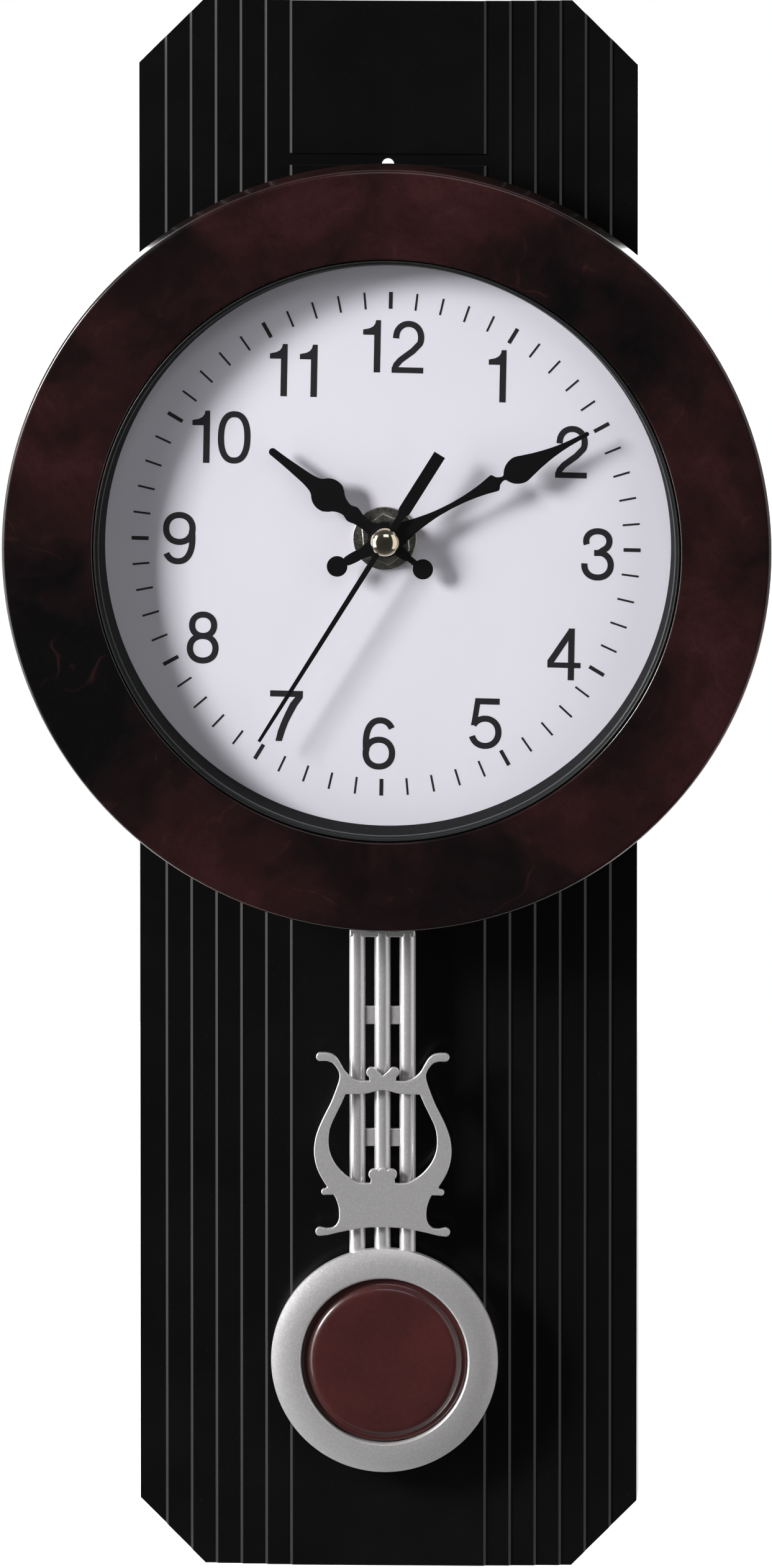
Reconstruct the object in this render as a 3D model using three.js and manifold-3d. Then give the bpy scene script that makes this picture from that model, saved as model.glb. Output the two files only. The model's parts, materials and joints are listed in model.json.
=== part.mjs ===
// Pendulum wall clock: a tall hollow case, a round bezel with its dial, a quartz movement with
// its gear train, three hands and a swinging pendulum. Millimetres.
//
// Frame: +X to the right, +Z up, the wall is the plane y = 0 and the clock faces -Y.
// The origin is the hanging point: the centre of the keyhole's round top, on the wall plane.
// "Out" is the distance from the wall, so y = -out.

import * as THREE from "three";
import { mergeVertices } from "three/addons/utils/BufferGeometryUtils.js";
import Module from "manifold-3d";

const wasm = await Module();
wasm.setup();

// ---------------------------------------------------------------- driving dimensions

const GAP = 0.3; // clearance between neighbouring pieces
const BIG_ROUND = 48; // sides of the bezel and dial rings
const MID_ROUND = 32; // sides of the bob
const SMALL_ROUND = 16; // sides of shafts, holes and bosses

// Case: a tray, open at the back. Its front rises to the centre in small sloping steps.
const CASE = { halfWidth: 62.4, top: 41.4, bottom: -355.6, corner: 16.4, edgeOut: 15, wall: 2.2 };
const RISER = { count: 6, outermost: 56, pitch: 6.28, rise: 0.6 };
const GROOVE = { halfWidth: 24.6, top: 2.8, bottom: -0.2, depth: 0.6 };
const KEYHOLE = { slotRadius: 1.55, entryRadius: 4.5, drop: 9 };
const WINDOW = { halfWidth: 30, top: -61.8, bottom: -148.2, radius: 2 };
const PANEL_OUT = CASE.edgeOut + RISER.count * RISER.rise;

// Bezel, dial and lens share one centre. The ring's face stands furthest out but for the lens.
const BEZEL = { x: 0.5, z: -94.35, outer: 96.3, inner: 73.55, back: 30, face: 42, wall: 2.1 };
const BOSS = { x: 52, z: 66, radius: 3.6, hole: 1.8 };
const SCREW = { head: 2.8, headBack: 11, headFront: 13.1, shank: 1.5, tip: 38 };
const PAN = { radius: 93, back: 28.3, front: 30 };
// Sleeves that hold the pan off the case, clear of the two steps they stand over.
const STANDOFF = { radius: 4.5, back: CASE.edgeOut + 2 * RISER.rise + GAP, front: PAN.back - GAP };
const DIAL = { radius: 75.2, back: 30.3, front: 31.5 };
const RIM = { foot: 70.8, lip: 73.3, shoulder: 75.5, seat: 72.3, recess: 72.9, front: 41.8 };
const LENS = { radius: 72.6, back: 40.8, rise: 7, thickness: 1.2, rings: 4 };

// Shaft of the movement, the origin of everything in the movement.
const SHAFT_Z = -92.4;
const NECK = { outer: 3.9, bore: 2.95, front: 34.5, clearance: 4.3 };
const GASKET = { radius: 13, back: 26.9, front: 28 };
const WASHER = { radius: 8, back: 31.8, front: 32.4 };
const NUT = { acrossFlats: 11.45, back: 32.7, front: 34.3, turn: 0.1 };

// Movement: a box 56 mm wide, with the battery bay and the pendulum bay below the gears.
const MOVEMENT = { halfWidth: 28, top: 28, bottom: -54.2, back: 10.6, front: 26.6, radius: 3 };
const SHELL = 1.5; // wall of the rear housing
const COVER_BACK = 25;
const GEAR_BAY = { top: 26.5, bottom: -11.1 };
const BATTERY_BAY = { top: -12.6, bottom: -27.6 };
const PENDULUM_BAY = { top: -29.1, bottom: -52.7 };
const ARM_SLOT = { halfWidth: 5.5, back: 21.4 };
const BATTERY = { radius: 7.1, z: -20.1, out: 17.4, left: -24.8, right: 24.4, nub: 2.75, nubEnd: 25.7 };
const CONTACT = { inner: 26, outer: 26.4, springRadius: 4, springTip: 2.5, springEnd: -25.1 };

// Gear train. Teeth are plain V forms with running backlash.
const ADDENDUM = 0.7; // of the module
const DEDENDUM = 1.3;
const FINE = 0.25; // modules
const MAIN = 0.3;
const THIRD = (2 * 10.8) / 68; // brings the second pinion and third wheel to the minute pair's distance
const TRAIN = {
  rotorPinion: 8,
  intermediateWheel: 40,
  intermediatePinion: 8,
  secondWheel: 48,
  secondPinion: 8,
  thirdWheel: 60,
  thirdPinion: 8,
  minuteWheel: 64,
  minutePinion: 10,
  motionWheel: 30,
  motionPinion: 8,
  hourWheel: 32,
  knobPinion: 10,
};
const degrees = Math.PI / 180;
const TOWARDS = { // from one axis to the next, seen from the front
  intermediate: 130 * degrees,
  rotor: 150 * degrees,
  third: 50 * degrees,
  motion: 200 * degrees,
};
const ARBOR = 0.5; // radius of the plain arbors
const ARBOR_HOLE = 0.85;
const REAR_PIVOT = 11.2; // out, where the arbors end in the rear housing
const PLATE = { left: -15, right: 20, bottom: -9, top: 13, back: 17.9, front: 18.9 };

// Hands, each on the front of its own tube or arbor. Outlines are in millimetres from the axis.
const SECOND_ARBOR = { radius: 0.55, front: 39.8 };
const MINUTE_TUBE = { outer: 1.65, bore: 0.85, front: 37.2 };
const HOUR_TUBE = { outer: 2.65, bore: 1.95, front: 35.7 };
const HOUR_HAND = { turn: 308.1, back: 34.9, front: 35.4, hub: 4.4 };
const MINUTE_HAND = { turn: 61.6, back: 36.3, front: 36.8, hub: 3.5 };
const SECOND_HAND = { turn: 211.9, back: 37.6, front: 38, hub: 3.4 };
const CAP = { radius: 3.6, back: 38.3, equator: 39, rise: 2.2, hole: 0.85, holeFront: 40.2 };

// Pendulum: hangs from its pivot, below the shaft. Heights are measured from the pivot.
const PIVOT_BELOW_SHAFT = 39.4;
const PIN = { radius: 0.9, back: 12.4, front: 24.7 };
const ARM = { halfWidth: 2.5, eye: 3.2, back: 22.4, front: 24, bottom: -46, stud: 1.2, studZ: -43 };
const MAGNET = { radius: 2.5, z: -6.6, back: 20.9, front: 22.1 };
const DRIVE_COIL = { radius: 5.2, hole: 1.6, z: -6.6, back: 12.4, front: 20.6 };
const RODS = { width: 4.05, pitch: 6.3, back: 22.5, side: 1, crown: 2 };
const ROD_HEAD = { halfWidth: 8.2, bottom: -62.8, top: -50, tongueHalf: 4, tongueTop: -38, back: 24.3 };
const CROSS_BARS = [[-85, -80.4], [-116, -111.5]];
const BOB = { z: -170.1, outer: 28.5, inner: 20.95, back: 24.3, face: 28.3, discBack: 22.5 };
const INSERT = { radius: 20.6, back: 24.6, flange: 26.4, plateau: 27.7 };
const LYRE = { top: -91.7, back: 25.8, front: 27.4 };
const HUNG = { rods: -1.2, lyre: -1, bob: -0.6 }; // how far the pieces hang off the arm's middle

// ---------------------------------------------------------------- geometry helpers

// A closed three.js geometry as a solid that can be joined and cut.
function solid(geometry) {
  const bare = geometry.index ? geometry.toNonIndexed() : geometry.clone();
  bare.deleteAttribute("normal");
  bare.deleteAttribute("uv");
  const merged = mergeVertices(bare, 1e-4);
  const vertProperties = merged.attributes.position.array;
  const triVerts = new Uint32Array(merged.index.array);
  return new wasm.Manifold(new wasm.Mesh({ numProp: 3, vertProperties, triVerts }));
}

function geometryOf(body) {
  const mesh = body.getMesh();
  const geometry = new THREE.BufferGeometry();
  geometry.setAttribute("position", new THREE.BufferAttribute(mesh.vertProperties, 3));
  geometry.setIndex(new THREE.BufferAttribute(mesh.triVerts, 1));
  geometry.computeVertexNormals();
  return geometry;
}

function join(...bodies) {
  return bodies.reduce((whole, body) => whole.add(body));
}

function cut(body, ...tools) {
  return tools.reduce((rest, tool) => rest.subtract(tool), body);
}

// A shape drawn in x and z, standing between two distances out.
function plate(shape, back, front, curveSegments = 8) {
  const settings = { depth: front - back, bevelEnabled: false, curveSegments };
  const geometry = new THREE.ExtrudeGeometry(shape, settings);
  geometry.translate(0, 0, back);
  geometry.rotateX(Math.PI / 2);
  return solid(geometry);
}

// A section drawn in x and out, running from one height to another.
function column(section, bottom, top, curveSegments = 8) {
  const settings = { depth: top - bottom, bevelEnabled: false, curveSegments };
  const geometry = new THREE.ExtrudeGeometry(section, settings);
  geometry.translate(0, 0, bottom);
  return solid(geometry);
}

// A turned piece about the Y axis. Its profile is a list of [radius, out], going round from the
// wall side outwards; it starts and ends on the axis or closes on itself.
function turned(profile, sides) {
  const closed = profile[0][0] > 0;
  const points = profile.map(([radius, out]) => new THREE.Vector2(radius, out));
  if (THREE.ShapeUtils.area(points) < 0) points.reverse();
  if (closed) points.push(points[0].clone());
  return solid(new THREE.LatheGeometry(points, sides).rotateX(Math.PI));
}

function rod(radius, back, front, x = 0, z = 0, sides = SMALL_ROUND) {
  const geometry = new THREE.CylinderGeometry(radius, radius, front - back, sides);
  return solid(geometry.translate(x, -(back + front) / 2, z));
}

// A cylinder that lies along X.
function crossRod(radius, left, right, out, z, sides = SMALL_ROUND) {
  const geometry = new THREE.CylinderGeometry(radius, radius, right - left, sides);
  geometry.rotateZ(Math.PI / 2);
  return solid(geometry.translate((left + right) / 2, -out, z));
}

function block([left, right], [back, front], [bottom, top]) {
  const geometry = new THREE.BoxGeometry(right - left, front - back, top - bottom);
  return solid(geometry.translate((left + right) / 2, -(back + front) / 2, (bottom + top) / 2));
}

function outline(points) {
  return new THREE.Shape(points.map(([x, z]) => new THREE.Vector2(x, z)));
}

function roundedRectangle(left, bottom, right, top, radius) {
  const shape = new THREE.Shape();
  shape.absarc(right - radius, top - radius, radius, 0, Math.PI / 2);
  shape.absarc(left + radius, top - radius, radius, Math.PI / 2, Math.PI);
  shape.absarc(left + radius, bottom + radius, radius, Math.PI, 1.5 * Math.PI);
  shape.absarc(right - radius, bottom + radius, radius, 1.5 * Math.PI, 2 * Math.PI);
  return shape;
}

// Points along an arc, in degrees from +X towards +Z.
function arc(x, z, radius, from, to, steps) {
  const points = [];
  for (let i = 0; i <= steps; i++) {
    const angle = (from + ((to - from) * i) / steps) * degrees;
    points.push([x + radius * Math.cos(angle), z + radius * Math.sin(angle)]);
  }
  return points;
}

// Points along a smooth curve through a few knots.
function smooth(knots, steps) {
  const curve = new THREE.SplineCurve(knots.map(([x, z]) => new THREE.Vector2(x, z)));
  return curve.getPoints(steps).map((point) => [point.x, point.y]);
}

// A whole outline from its right half, which runs from the upper to the lower end of the axis.
function mirrored(half) {
  const inner = half.filter(([x]) => x > 1e-6);
  const other = inner.map(([x, z]) => [-x, z]).reverse();
  return outline([...half, ...other]);
}

// ---------------------------------------------------------------- materials

function finish(color, roughness, metalness = 0) {
  return new THREE.MeshStandardMaterial({ color, roughness, metalness });
}

const MATERIAL = {
  caseBlack: finish(0x0d0d0e, 0.35),
  burl: finish(0x2e1a1a, 0.25),
  rimBlack: finish(0x101012, 0.4),
  panBlack: finish(0x18181a, 0.6),
  dialWhite: finish(0xe2e0ea, 0.6),
  clear: finish(0xffffff, 0.05),
  handBlack: finish(0x0a0a0b, 0.45),
  brass: finish(0xc2b088, 0.2, 1),
  nickel: finish(0x8f8c82, 0.35, 1),
  steel: finish(0x9a9a9c, 0.35, 1),
  silverPaint: finish(0xa6a4a6, 0.4, 0.4),
  burgundy: finish(0x401d1d, 0.2),
  movementPlastic: finish(0x1b1b1d, 0.55),
  gearPlastic: finish(0xdcdcd4, 0.5),
  rubber: finish(0x141414, 0.9),
  board: finish(0x1d5a34, 0.5),
  copper: finish(0xb06a3c, 0.35, 0.8),
  magnet: finish(0x55565a, 0.4, 0.8),
  batteryJacket: finish(0x2c3d66, 0.35),
};
MATERIAL.clear.transparent = true;
MATERIAL.clear.opacity = 0.15;

function piece(name, body, material, x = 0, z = 0) {
  const mesh = new THREE.Mesh(geometryOf(body), material);
  mesh.name = name;
  mesh.position.set(x, 0, z);
  return mesh;
}

function groupAt(x, z, ...children) {
  const group = new THREE.Group();
  group.position.set(x, 0, z);
  group.add(...children);
  return group;
}

// ---------------------------------------------------------------- case

function octagon(inset) {
  const half = CASE.halfWidth - inset;
  const top = CASE.top - inset;
  const bottom = CASE.bottom + inset;
  const corner = CASE.corner - inset * (2 - Math.SQRT2);
  return outline([
    [half, top - corner],
    [half - corner, top],
    [corner - half, top],
    [-half, top - corner],
    [-half, bottom + corner],
    [corner - half, bottom],
    [half - corner, bottom],
    [half, bottom + corner],
  ]);
}

// The tray's stepped section, drawn in x and y, from behind the wall plane to its front.
function steppedSection(halfWidth, edgeOut, behind) {
  const right = [[halfWidth, -edgeOut]];
  for (let i = 0; i < RISER.count; i++) {
    const x = RISER.outermost - i * RISER.pitch;
    const out = edgeOut + i * RISER.rise;
    right.push([x, -out], [x - RISER.rise, -out - RISER.rise]);
  }
  const left = right.map(([x, y]) => [-x, y]).reverse();
  return outline([[halfWidth, behind], ...right, ...left, [-halfWidth, behind]]);
}

function bossPlaces(x, z) {
  return [[-1, 1], [1, 1], [-1, -1], [1, -1]].map(([sx, sz]) => [x + sx * BOSS.x, z + sz * BOSS.z]);
}

function caseShell() {
  const outer = column(steppedSection(CASE.halfWidth, CASE.edgeOut, 0), CASE.bottom, CASE.top);
  const depth = CASE.edgeOut - CASE.wall;
  const inner = column(steppedSection(CASE.halfWidth - CASE.wall, depth, 1), CASE.bottom, CASE.top);
  const hollow = inner.intersect(plate(octagon(CASE.wall), -1, PANEL_OUT));
  const tray = outer.intersect(plate(octagon(0), -1, PANEL_OUT + 1)).subtract(hollow);
  const groove = block(
    [-GROOVE.halfWidth, GROOVE.halfWidth],
    [PANEL_OUT - GROOVE.depth, PANEL_OUT + 1],
    [GROOVE.bottom, GROOVE.top],
  );
  const slot = block(
    [-KEYHOLE.slotRadius, KEYHOLE.slotRadius],
    [depth, PANEL_OUT + 1],
    [-KEYHOLE.drop, 0],
  );
  const slotTop = rod(KEYHOLE.slotRadius, depth, PANEL_OUT + 1);
  const entry = rod(KEYHOLE.entryRadius, depth, PANEL_OUT + 1, 0, -KEYHOLE.drop);
  const opening = roundedRectangle(
    -WINDOW.halfWidth, WINDOW.bottom, WINDOW.halfWidth, WINDOW.top, WINDOW.radius,
  );
  const window = plate(opening, depth, PANEL_OUT + 1, 3);
  const places = bossPlaces(BEZEL.x, BEZEL.z);
  const holes = places.map(([x, z]) => rod(BOSS.hole, SCREW.headBack, PAN.back, x, z));
  return cut(tray, groove, slot, slotTop, entry, window, ...holes);
}

// ---------------------------------------------------------------- bezel, dial and lens

function bezelRing() {
  const { outer, inner, back, face, wall } = BEZEL;
  const ring = turned(
    [
      [outer - wall, back],
      [outer, back],
      [outer, face - 1],
      [outer - 1, face],
      [inner + 0.5, face],
      [inner, face - 0.5],
      [inner, face - wall],
      [outer - wall, face - wall],
    ],
    BIG_ROUND,
  );
  const places = bossPlaces(0, 0);
  const bosses = places.map(([x, z]) => rod(BOSS.radius, PAN.front + GAP, face - wall + 0.5, x, z));
  const holes = places.map(([x, z]) => rod(BOSS.hole, PAN.front, SCREW.tip + 1, x, z));
  return cut(join(ring, ...bosses), ...holes);
}

function dialRim() {
  const foot = DIAL.front + GAP;
  const shoulder = BEZEL.face - BEZEL.wall - GAP;
  const seat = LENS.back - GAP;
  return turned(
    [
      [RIM.foot, foot],
      [RIM.shoulder, foot],
      [RIM.shoulder, shoulder],
      [RIM.lip, shoulder],
      [RIM.lip, RIM.front],
      [RIM.recess, RIM.front],
      [RIM.recess, seat],
      [RIM.seat, seat],
    ],
    BIG_ROUND,
  );
}

// A shallow dome of even thickness with a flat foot.
function lens() {
  const { radius, back, rise, thickness, rings } = LENS;
  const sphere = (radius * radius + rise * rise) / (2 * rise);
  const height = (r) => back + Math.sqrt(sphere * sphere - r * r) - (sphere - rise);
  const outside = [[radius, back]];
  const inside = [[radius - thickness, back]];
  for (let i = 0; i <= rings; i++) {
    const share = 1 - i / rings;
    outside.push([radius * share, height(radius * share) + thickness]);
    if (i > 0) inside.push([(radius - thickness) * share, height((radius - thickness) * share)]);
  }
  return turned([...inside.reverse(), ...outside], MID_ROUND);
}

function dialPan() {
  const shaft = [-BEZEL.x, SHAFT_Z - BEZEL.z];
  const holes = bossPlaces(0, 0).map(([x, z]) => rod(BOSS.hole, PAN.back - 1, PAN.front + 1, x, z));
  const disc = rod(PAN.radius, PAN.back, PAN.front, 0, 0, BIG_ROUND);
  return cut(disc, rod(NECK.clearance, PAN.back - 1, PAN.front + 1, ...shaft), ...holes);
}

function dialPlate() {
  const disc = rod(DIAL.radius, DIAL.back, DIAL.front, 0, 0, BIG_ROUND);
  return cut(disc, rod(NECK.clearance, DIAL.back - 1, DIAL.front + 1, -BEZEL.x, SHAFT_Z - BEZEL.z));
}

function bezelStandoff() {
  const { radius, back, front } = STANDOFF;
  return cut(rod(radius, back, front), rod(BOSS.hole, back - 1, front + 1));
}

function bezelScrew() {
  const { head, headBack, headFront, shank, tip } = SCREW;
  const profile = [
    [0, headBack], [head, headBack], [head, headFront],
    [shank, headFront], [shank, tip], [0, tip],
  ];
  return turned(profile, SMALL_ROUND);
}

function bezelGroup() {
  const group = groupAt(
    BEZEL.x,
    BEZEL.z,
    piece("bezel_ring", bezelRing(), MATERIAL.burl),
    piece("dial_rim", dialRim(), MATERIAL.rimBlack),
    piece("lens", lens(), MATERIAL.clear),
    piece("dial_pan", dialPan(), MATERIAL.panBlack),
    piece("dial_plate", dialPlate(), MATERIAL.dialWhite),
  );
  bossPlaces(0, 0).forEach(([x, z], i) => {
    group.add(piece(`bezel_standoff_${i + 1}`, bezelStandoff(), MATERIAL.caseBlack, x, z));
    group.add(piece(`bezel_screw_${i + 1}`, bezelScrew(), MATERIAL.steel, x, z));
  });
  return group;
}

// ---------------------------------------------------------------- gears

// V teeth between a root and a tip circle, with one tooth at the angle "phase".
function gear(teeth, module, phase, back, front) {
  const tip = (teeth / 2 + ADDENDUM) * module;
  const root = (teeth / 2 - DEDENDUM) * module;
  const points = [];
  for (let i = 0; i < 2 * teeth; i++) {
    const radius = i % 2 ? root : tip;
    const angle = phase + (i * Math.PI) / teeth;
    points.push([radius * Math.cos(angle), radius * Math.sin(angle)]);
  }
  return plate(outline(points), back, front);
}

// The phase that puts a gap of the next gear on a tooth of this one, across their line of centres.
function inMesh(phase, teeth, nextTeeth, towards) {
  return towards + Math.PI - (teeth / nextTeeth) * (phase - towards) - Math.PI / nextTeeth;
}

function away(distance, towards) {
  return [distance * Math.cos(towards), distance * Math.sin(towards)];
}

function pitchDistance(teethA, teethB, module) {
  return ((teethA + teethB) * module) / 2;
}

const INTERMEDIATE_AT = away(
  pitchDistance(TRAIN.secondWheel, TRAIN.intermediatePinion, MAIN),
  TOWARDS.intermediate,
);
const ROTOR_STEP = away(
  pitchDistance(TRAIN.intermediateWheel, TRAIN.rotorPinion, FINE),
  TOWARDS.rotor,
);
const ROTOR_AT = [INTERMEDIATE_AT[0] + ROTOR_STEP[0], INTERMEDIATE_AT[1] + ROTOR_STEP[1]];
const THIRD_AT = away(pitchDistance(TRAIN.thirdPinion, TRAIN.minuteWheel, MAIN), TOWARDS.third);
const MOTION_DISTANCE = pitchDistance(TRAIN.minutePinion, TRAIN.motionWheel, MAIN);
const MOTION_AT = away(MOTION_DISTANCE, TOWARDS.motion);
const KNOB_AT = away(2 * MOTION_DISTANCE, TOWARDS.motion);

function secondWheel() {
  return join(
    rod(SECOND_ARBOR.radius, REAR_PIVOT, SECOND_ARBOR.front),
    gear(TRAIN.secondWheel, MAIN, 0, 14.3, 15.1),
    gear(TRAIN.secondPinion, THIRD, 0, 15, 17.6),
  );
}

function intermediateWheel() {
  const phase = inMesh(0, TRAIN.secondWheel, TRAIN.intermediatePinion, TOWARDS.intermediate);
  return join(
    rod(ARBOR, REAR_PIVOT, 18.7),
    gear(TRAIN.intermediateWheel, FINE, 0, 12.7, 13.5),
    gear(TRAIN.intermediatePinion, MAIN, phase, 13.4, 15.4),
  );
}

function rotor() {
  const phase = inMesh(0, TRAIN.intermediateWheel, TRAIN.rotorPinion, TOWARDS.rotor);
  return join(
    rod(ARBOR, REAR_PIVOT, 18.7),
    gear(TRAIN.rotorPinion, FINE, phase, 12.4, 14.2),
    rod(2.6, 14.6, 17.2),
  );
}

function thirdWheel() {
  const phase = inMesh(0, TRAIN.secondPinion, TRAIN.thirdWheel, TOWARDS.third);
  return join(
    rod(ARBOR, REAR_PIVOT, 26),
    gear(TRAIN.thirdWheel, THIRD, phase, 16.5, 17.3),
    gear(TRAIN.thirdPinion, MAIN, 0, 19.2, 20.6),
  );
}

function minuteWheel() {
  const back = TOWARDS.third + Math.PI;
  const phase = inMesh(0, TRAIN.thirdPinion, TRAIN.minuteWheel, back);
  const body = join(
    gear(TRAIN.minuteWheel, MAIN, phase, 19.5, 20.3),
    gear(TRAIN.minutePinion, MAIN, 0, 20.2, 22.1),
    rod(MINUTE_TUBE.outer, 22.1, MINUTE_TUBE.front),
  );
  return cut(body, rod(MINUTE_TUBE.bore, 19, MINUTE_TUBE.front + 1));
}

const MOTION_WHEEL_PHASE = inMesh(0, TRAIN.minutePinion, TRAIN.motionWheel, TOWARDS.motion);

function motionWheel() {
  return join(
    gear(TRAIN.motionWheel, MAIN, MOTION_WHEEL_PHASE, 20.8, 21.8),
    gear(TRAIN.motionPinion, MAIN, 0, 21.7, 24),
    rod(ARBOR, 20.8, 26),
  );
}

function hourWheel() {
  const phase = inMesh(0, TRAIN.motionPinion, TRAIN.hourWheel, TOWARDS.motion + Math.PI);
  const body = join(
    gear(TRAIN.hourWheel, MAIN, phase, 22.6, 23.6),
    rod(HOUR_TUBE.outer, 22.6, HOUR_TUBE.front),
  );
  return cut(body, rod(HOUR_TUBE.bore, 22, HOUR_TUBE.front + 1));
}

function setKnob() {
  const phase = inMesh(MOTION_WHEEL_PHASE, TRAIN.motionWheel, TRAIN.knobPinion, TOWARDS.motion);
  const grips = 12;
  const head = rod(5, 7.2, 10.2, 0, 0, 2 * grips);
  const notches = arc(0, 0, 5.2, 0, 360 - 360 / grips, grips - 1);
  const notched = cut(head, ...notches.map(([x, z]) => rod(0.6, 7, 11, x, z, 8)));
  return join(notched, rod(0.9, 10, 22.4), gear(TRAIN.knobPinion, MAIN, phase, 20.8, 21.8));
}

// ---------------------------------------------------------------- movement

function movementOutline() {
  const { halfWidth, top, bottom, radius } = MOVEMENT;
  return roundedRectangle(-halfWidth, bottom, halfWidth, top, radius);
}

function rearHousing() {
  const side = [SHELL - MOVEMENT.halfWidth, MOVEMENT.halfWidth - SHELL];
  const floor = MOVEMENT.back + SHELL;
  const front = COVER_BACK - GAP;
  const bay = ({ bottom, top }, back) => block(side, [back, front + 1], [bottom, top]);
  const slot = block(
    [-ARM_SLOT.halfWidth, ARM_SLOT.halfWidth],
    [ARM_SLOT.back, front + 1],
    [MOVEMENT.bottom - 1, PENDULUM_BAY.bottom + 1],
  );
  const arbors = [[0, 0], INTERMEDIATE_AT, ROTOR_AT, THIRD_AT];
  const holes = arbors.map(([x, z]) => rod(ARBOR_HOLE, MOVEMENT.back - 1, floor + 1, x, z, 12));
  const pin = rod(PIN.radius + GAP, MOVEMENT.back - 1, floor + 1, 0, -PIVOT_BELOW_SHAFT, 12);
  return cut(
    plate(movementOutline(), MOVEMENT.back, front, 4),
    bay(GEAR_BAY, floor),
    bay(BATTERY_BAY, MOVEMENT.back - 1),
    bay(PENDULUM_BAY, floor),
    slot,
    rod(1.3, MOVEMENT.back - 1, floor + 1, ...KNOB_AT),
    pin,
    ...holes,
  );
}

function frontCover() {
  const sheet = plate(movementOutline(), COVER_BACK, MOVEMENT.front, 4);
  const neck = rod(NECK.outer, MOVEMENT.front - 0.1, NECK.front, 0, 0, 24);
  const arbors = [THIRD_AT, MOTION_AT];
  const holes = arbors.map(([x, z]) => rod(ARBOR_HOLE, COVER_BACK - 1, MOVEMENT.front + 1, x, z, 12));
  return cut(join(sheet, neck), rod(NECK.bore, COVER_BACK - 1, NECK.front + 1, 0, 0, 24), ...holes);
}

function trainPlate() {
  const { left, right, bottom, top, back, front } = PLATE;
  const sheet = plate(roundedRectangle(left, bottom, right, top, 2), back, front, 3);
  const arbors = [INTERMEDIATE_AT, ROTOR_AT, THIRD_AT];
  const holes = arbors.map(([x, z]) => rod(ARBOR_HOLE, back - 1, front + 1, x, z, 12));
  const middle = rod(1.2, back - 1, front + 1);
  const knob = rod(1.3, back - 1, front + 1, ...KNOB_AT);
  return cut(sheet, middle, knob, ...holes);
}

function statorPlate() {
  const sheet = outline([
    [-25.6, 6], [-7.2, 6], [-7.2, 13.5], [-6.5, 13.5], [-6.5, 22],
    [-9, 22], [-9, 13.6], [-22, 13.6], [-22, 22], [-25.6, 22],
  ]);
  return cut(plate(sheet, 15.4, 16.6), rod(3.1, 15, 17, ...ROTOR_AT));
}

function stepperCoil() {
  const winding = crossRod(4, -20.8, -10.2, 16.4, 18);
  return join(winding, crossRod(4.3, -21.6, -20.7, 16.4, 18), crossRod(4.3, -10.3, -9.4, 16.4, 18));
}

function battery() {
  const { radius, z, out, left, right, nub, nubEnd } = BATTERY;
  return join(crossRod(radius, left, right, out, z, 32), crossRod(nub, right - 0.5, nubEnd, out, z));
}

function contactPositive() {
  return block([CONTACT.inner, CONTACT.outer], [13, 22], [BATTERY.z - 4, BATTERY.z + 4]);
}

function contactNegative() {
  const tab = block([-CONTACT.outer, -CONTACT.inner], [13, 22], [BATTERY.z - 4, BATTERY.z + 4]);
  const length = CONTACT.springEnd + CONTACT.inner;
  const { springTip, springRadius } = CONTACT;
  const cone = new THREE.CylinderGeometry(springTip, springRadius, length + 0.1, SMALL_ROUND);
  cone.rotateZ(-Math.PI / 2);
  cone.translate((CONTACT.springEnd - CONTACT.inner - 0.1) / 2, -BATTERY.out, BATTERY.z);
  return join(tab, solid(cone));
}

function pendulumCoil() {
  const { radius, hole, back, front } = DRIVE_COIL;
  const bobbin = turned(
    [
      [hole, back], [radius, back], [radius, back + 0.8], [radius - 0.6, back + 0.8],
      [radius - 0.6, front - 0.8], [radius, front - 0.8], [radius, front], [hole, front],
    ],
    SMALL_ROUND,
  );
  return bobbin;
}

function ringWasher({ radius, back, front }, sides) {
  return cut(rod(radius, back, front, 0, 0, sides), rod(NECK.clearance, back - 1, front + 1, 0, 0, 24));
}

function mountingNut() {
  const corner = NUT.acrossFlats / 2 / Math.cos(Math.PI / 6);
  const hexagon = new THREE.CylinderGeometry(corner, corner, NUT.front - NUT.back, 6);
  hexagon.rotateY(NUT.turn);
  hexagon.translate(0, -(NUT.back + NUT.front) / 2, 0);
  return cut(solid(hexagon), rod(NECK.clearance, NUT.back - 1, NUT.front + 1, 0, 0, 24));
}

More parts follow.
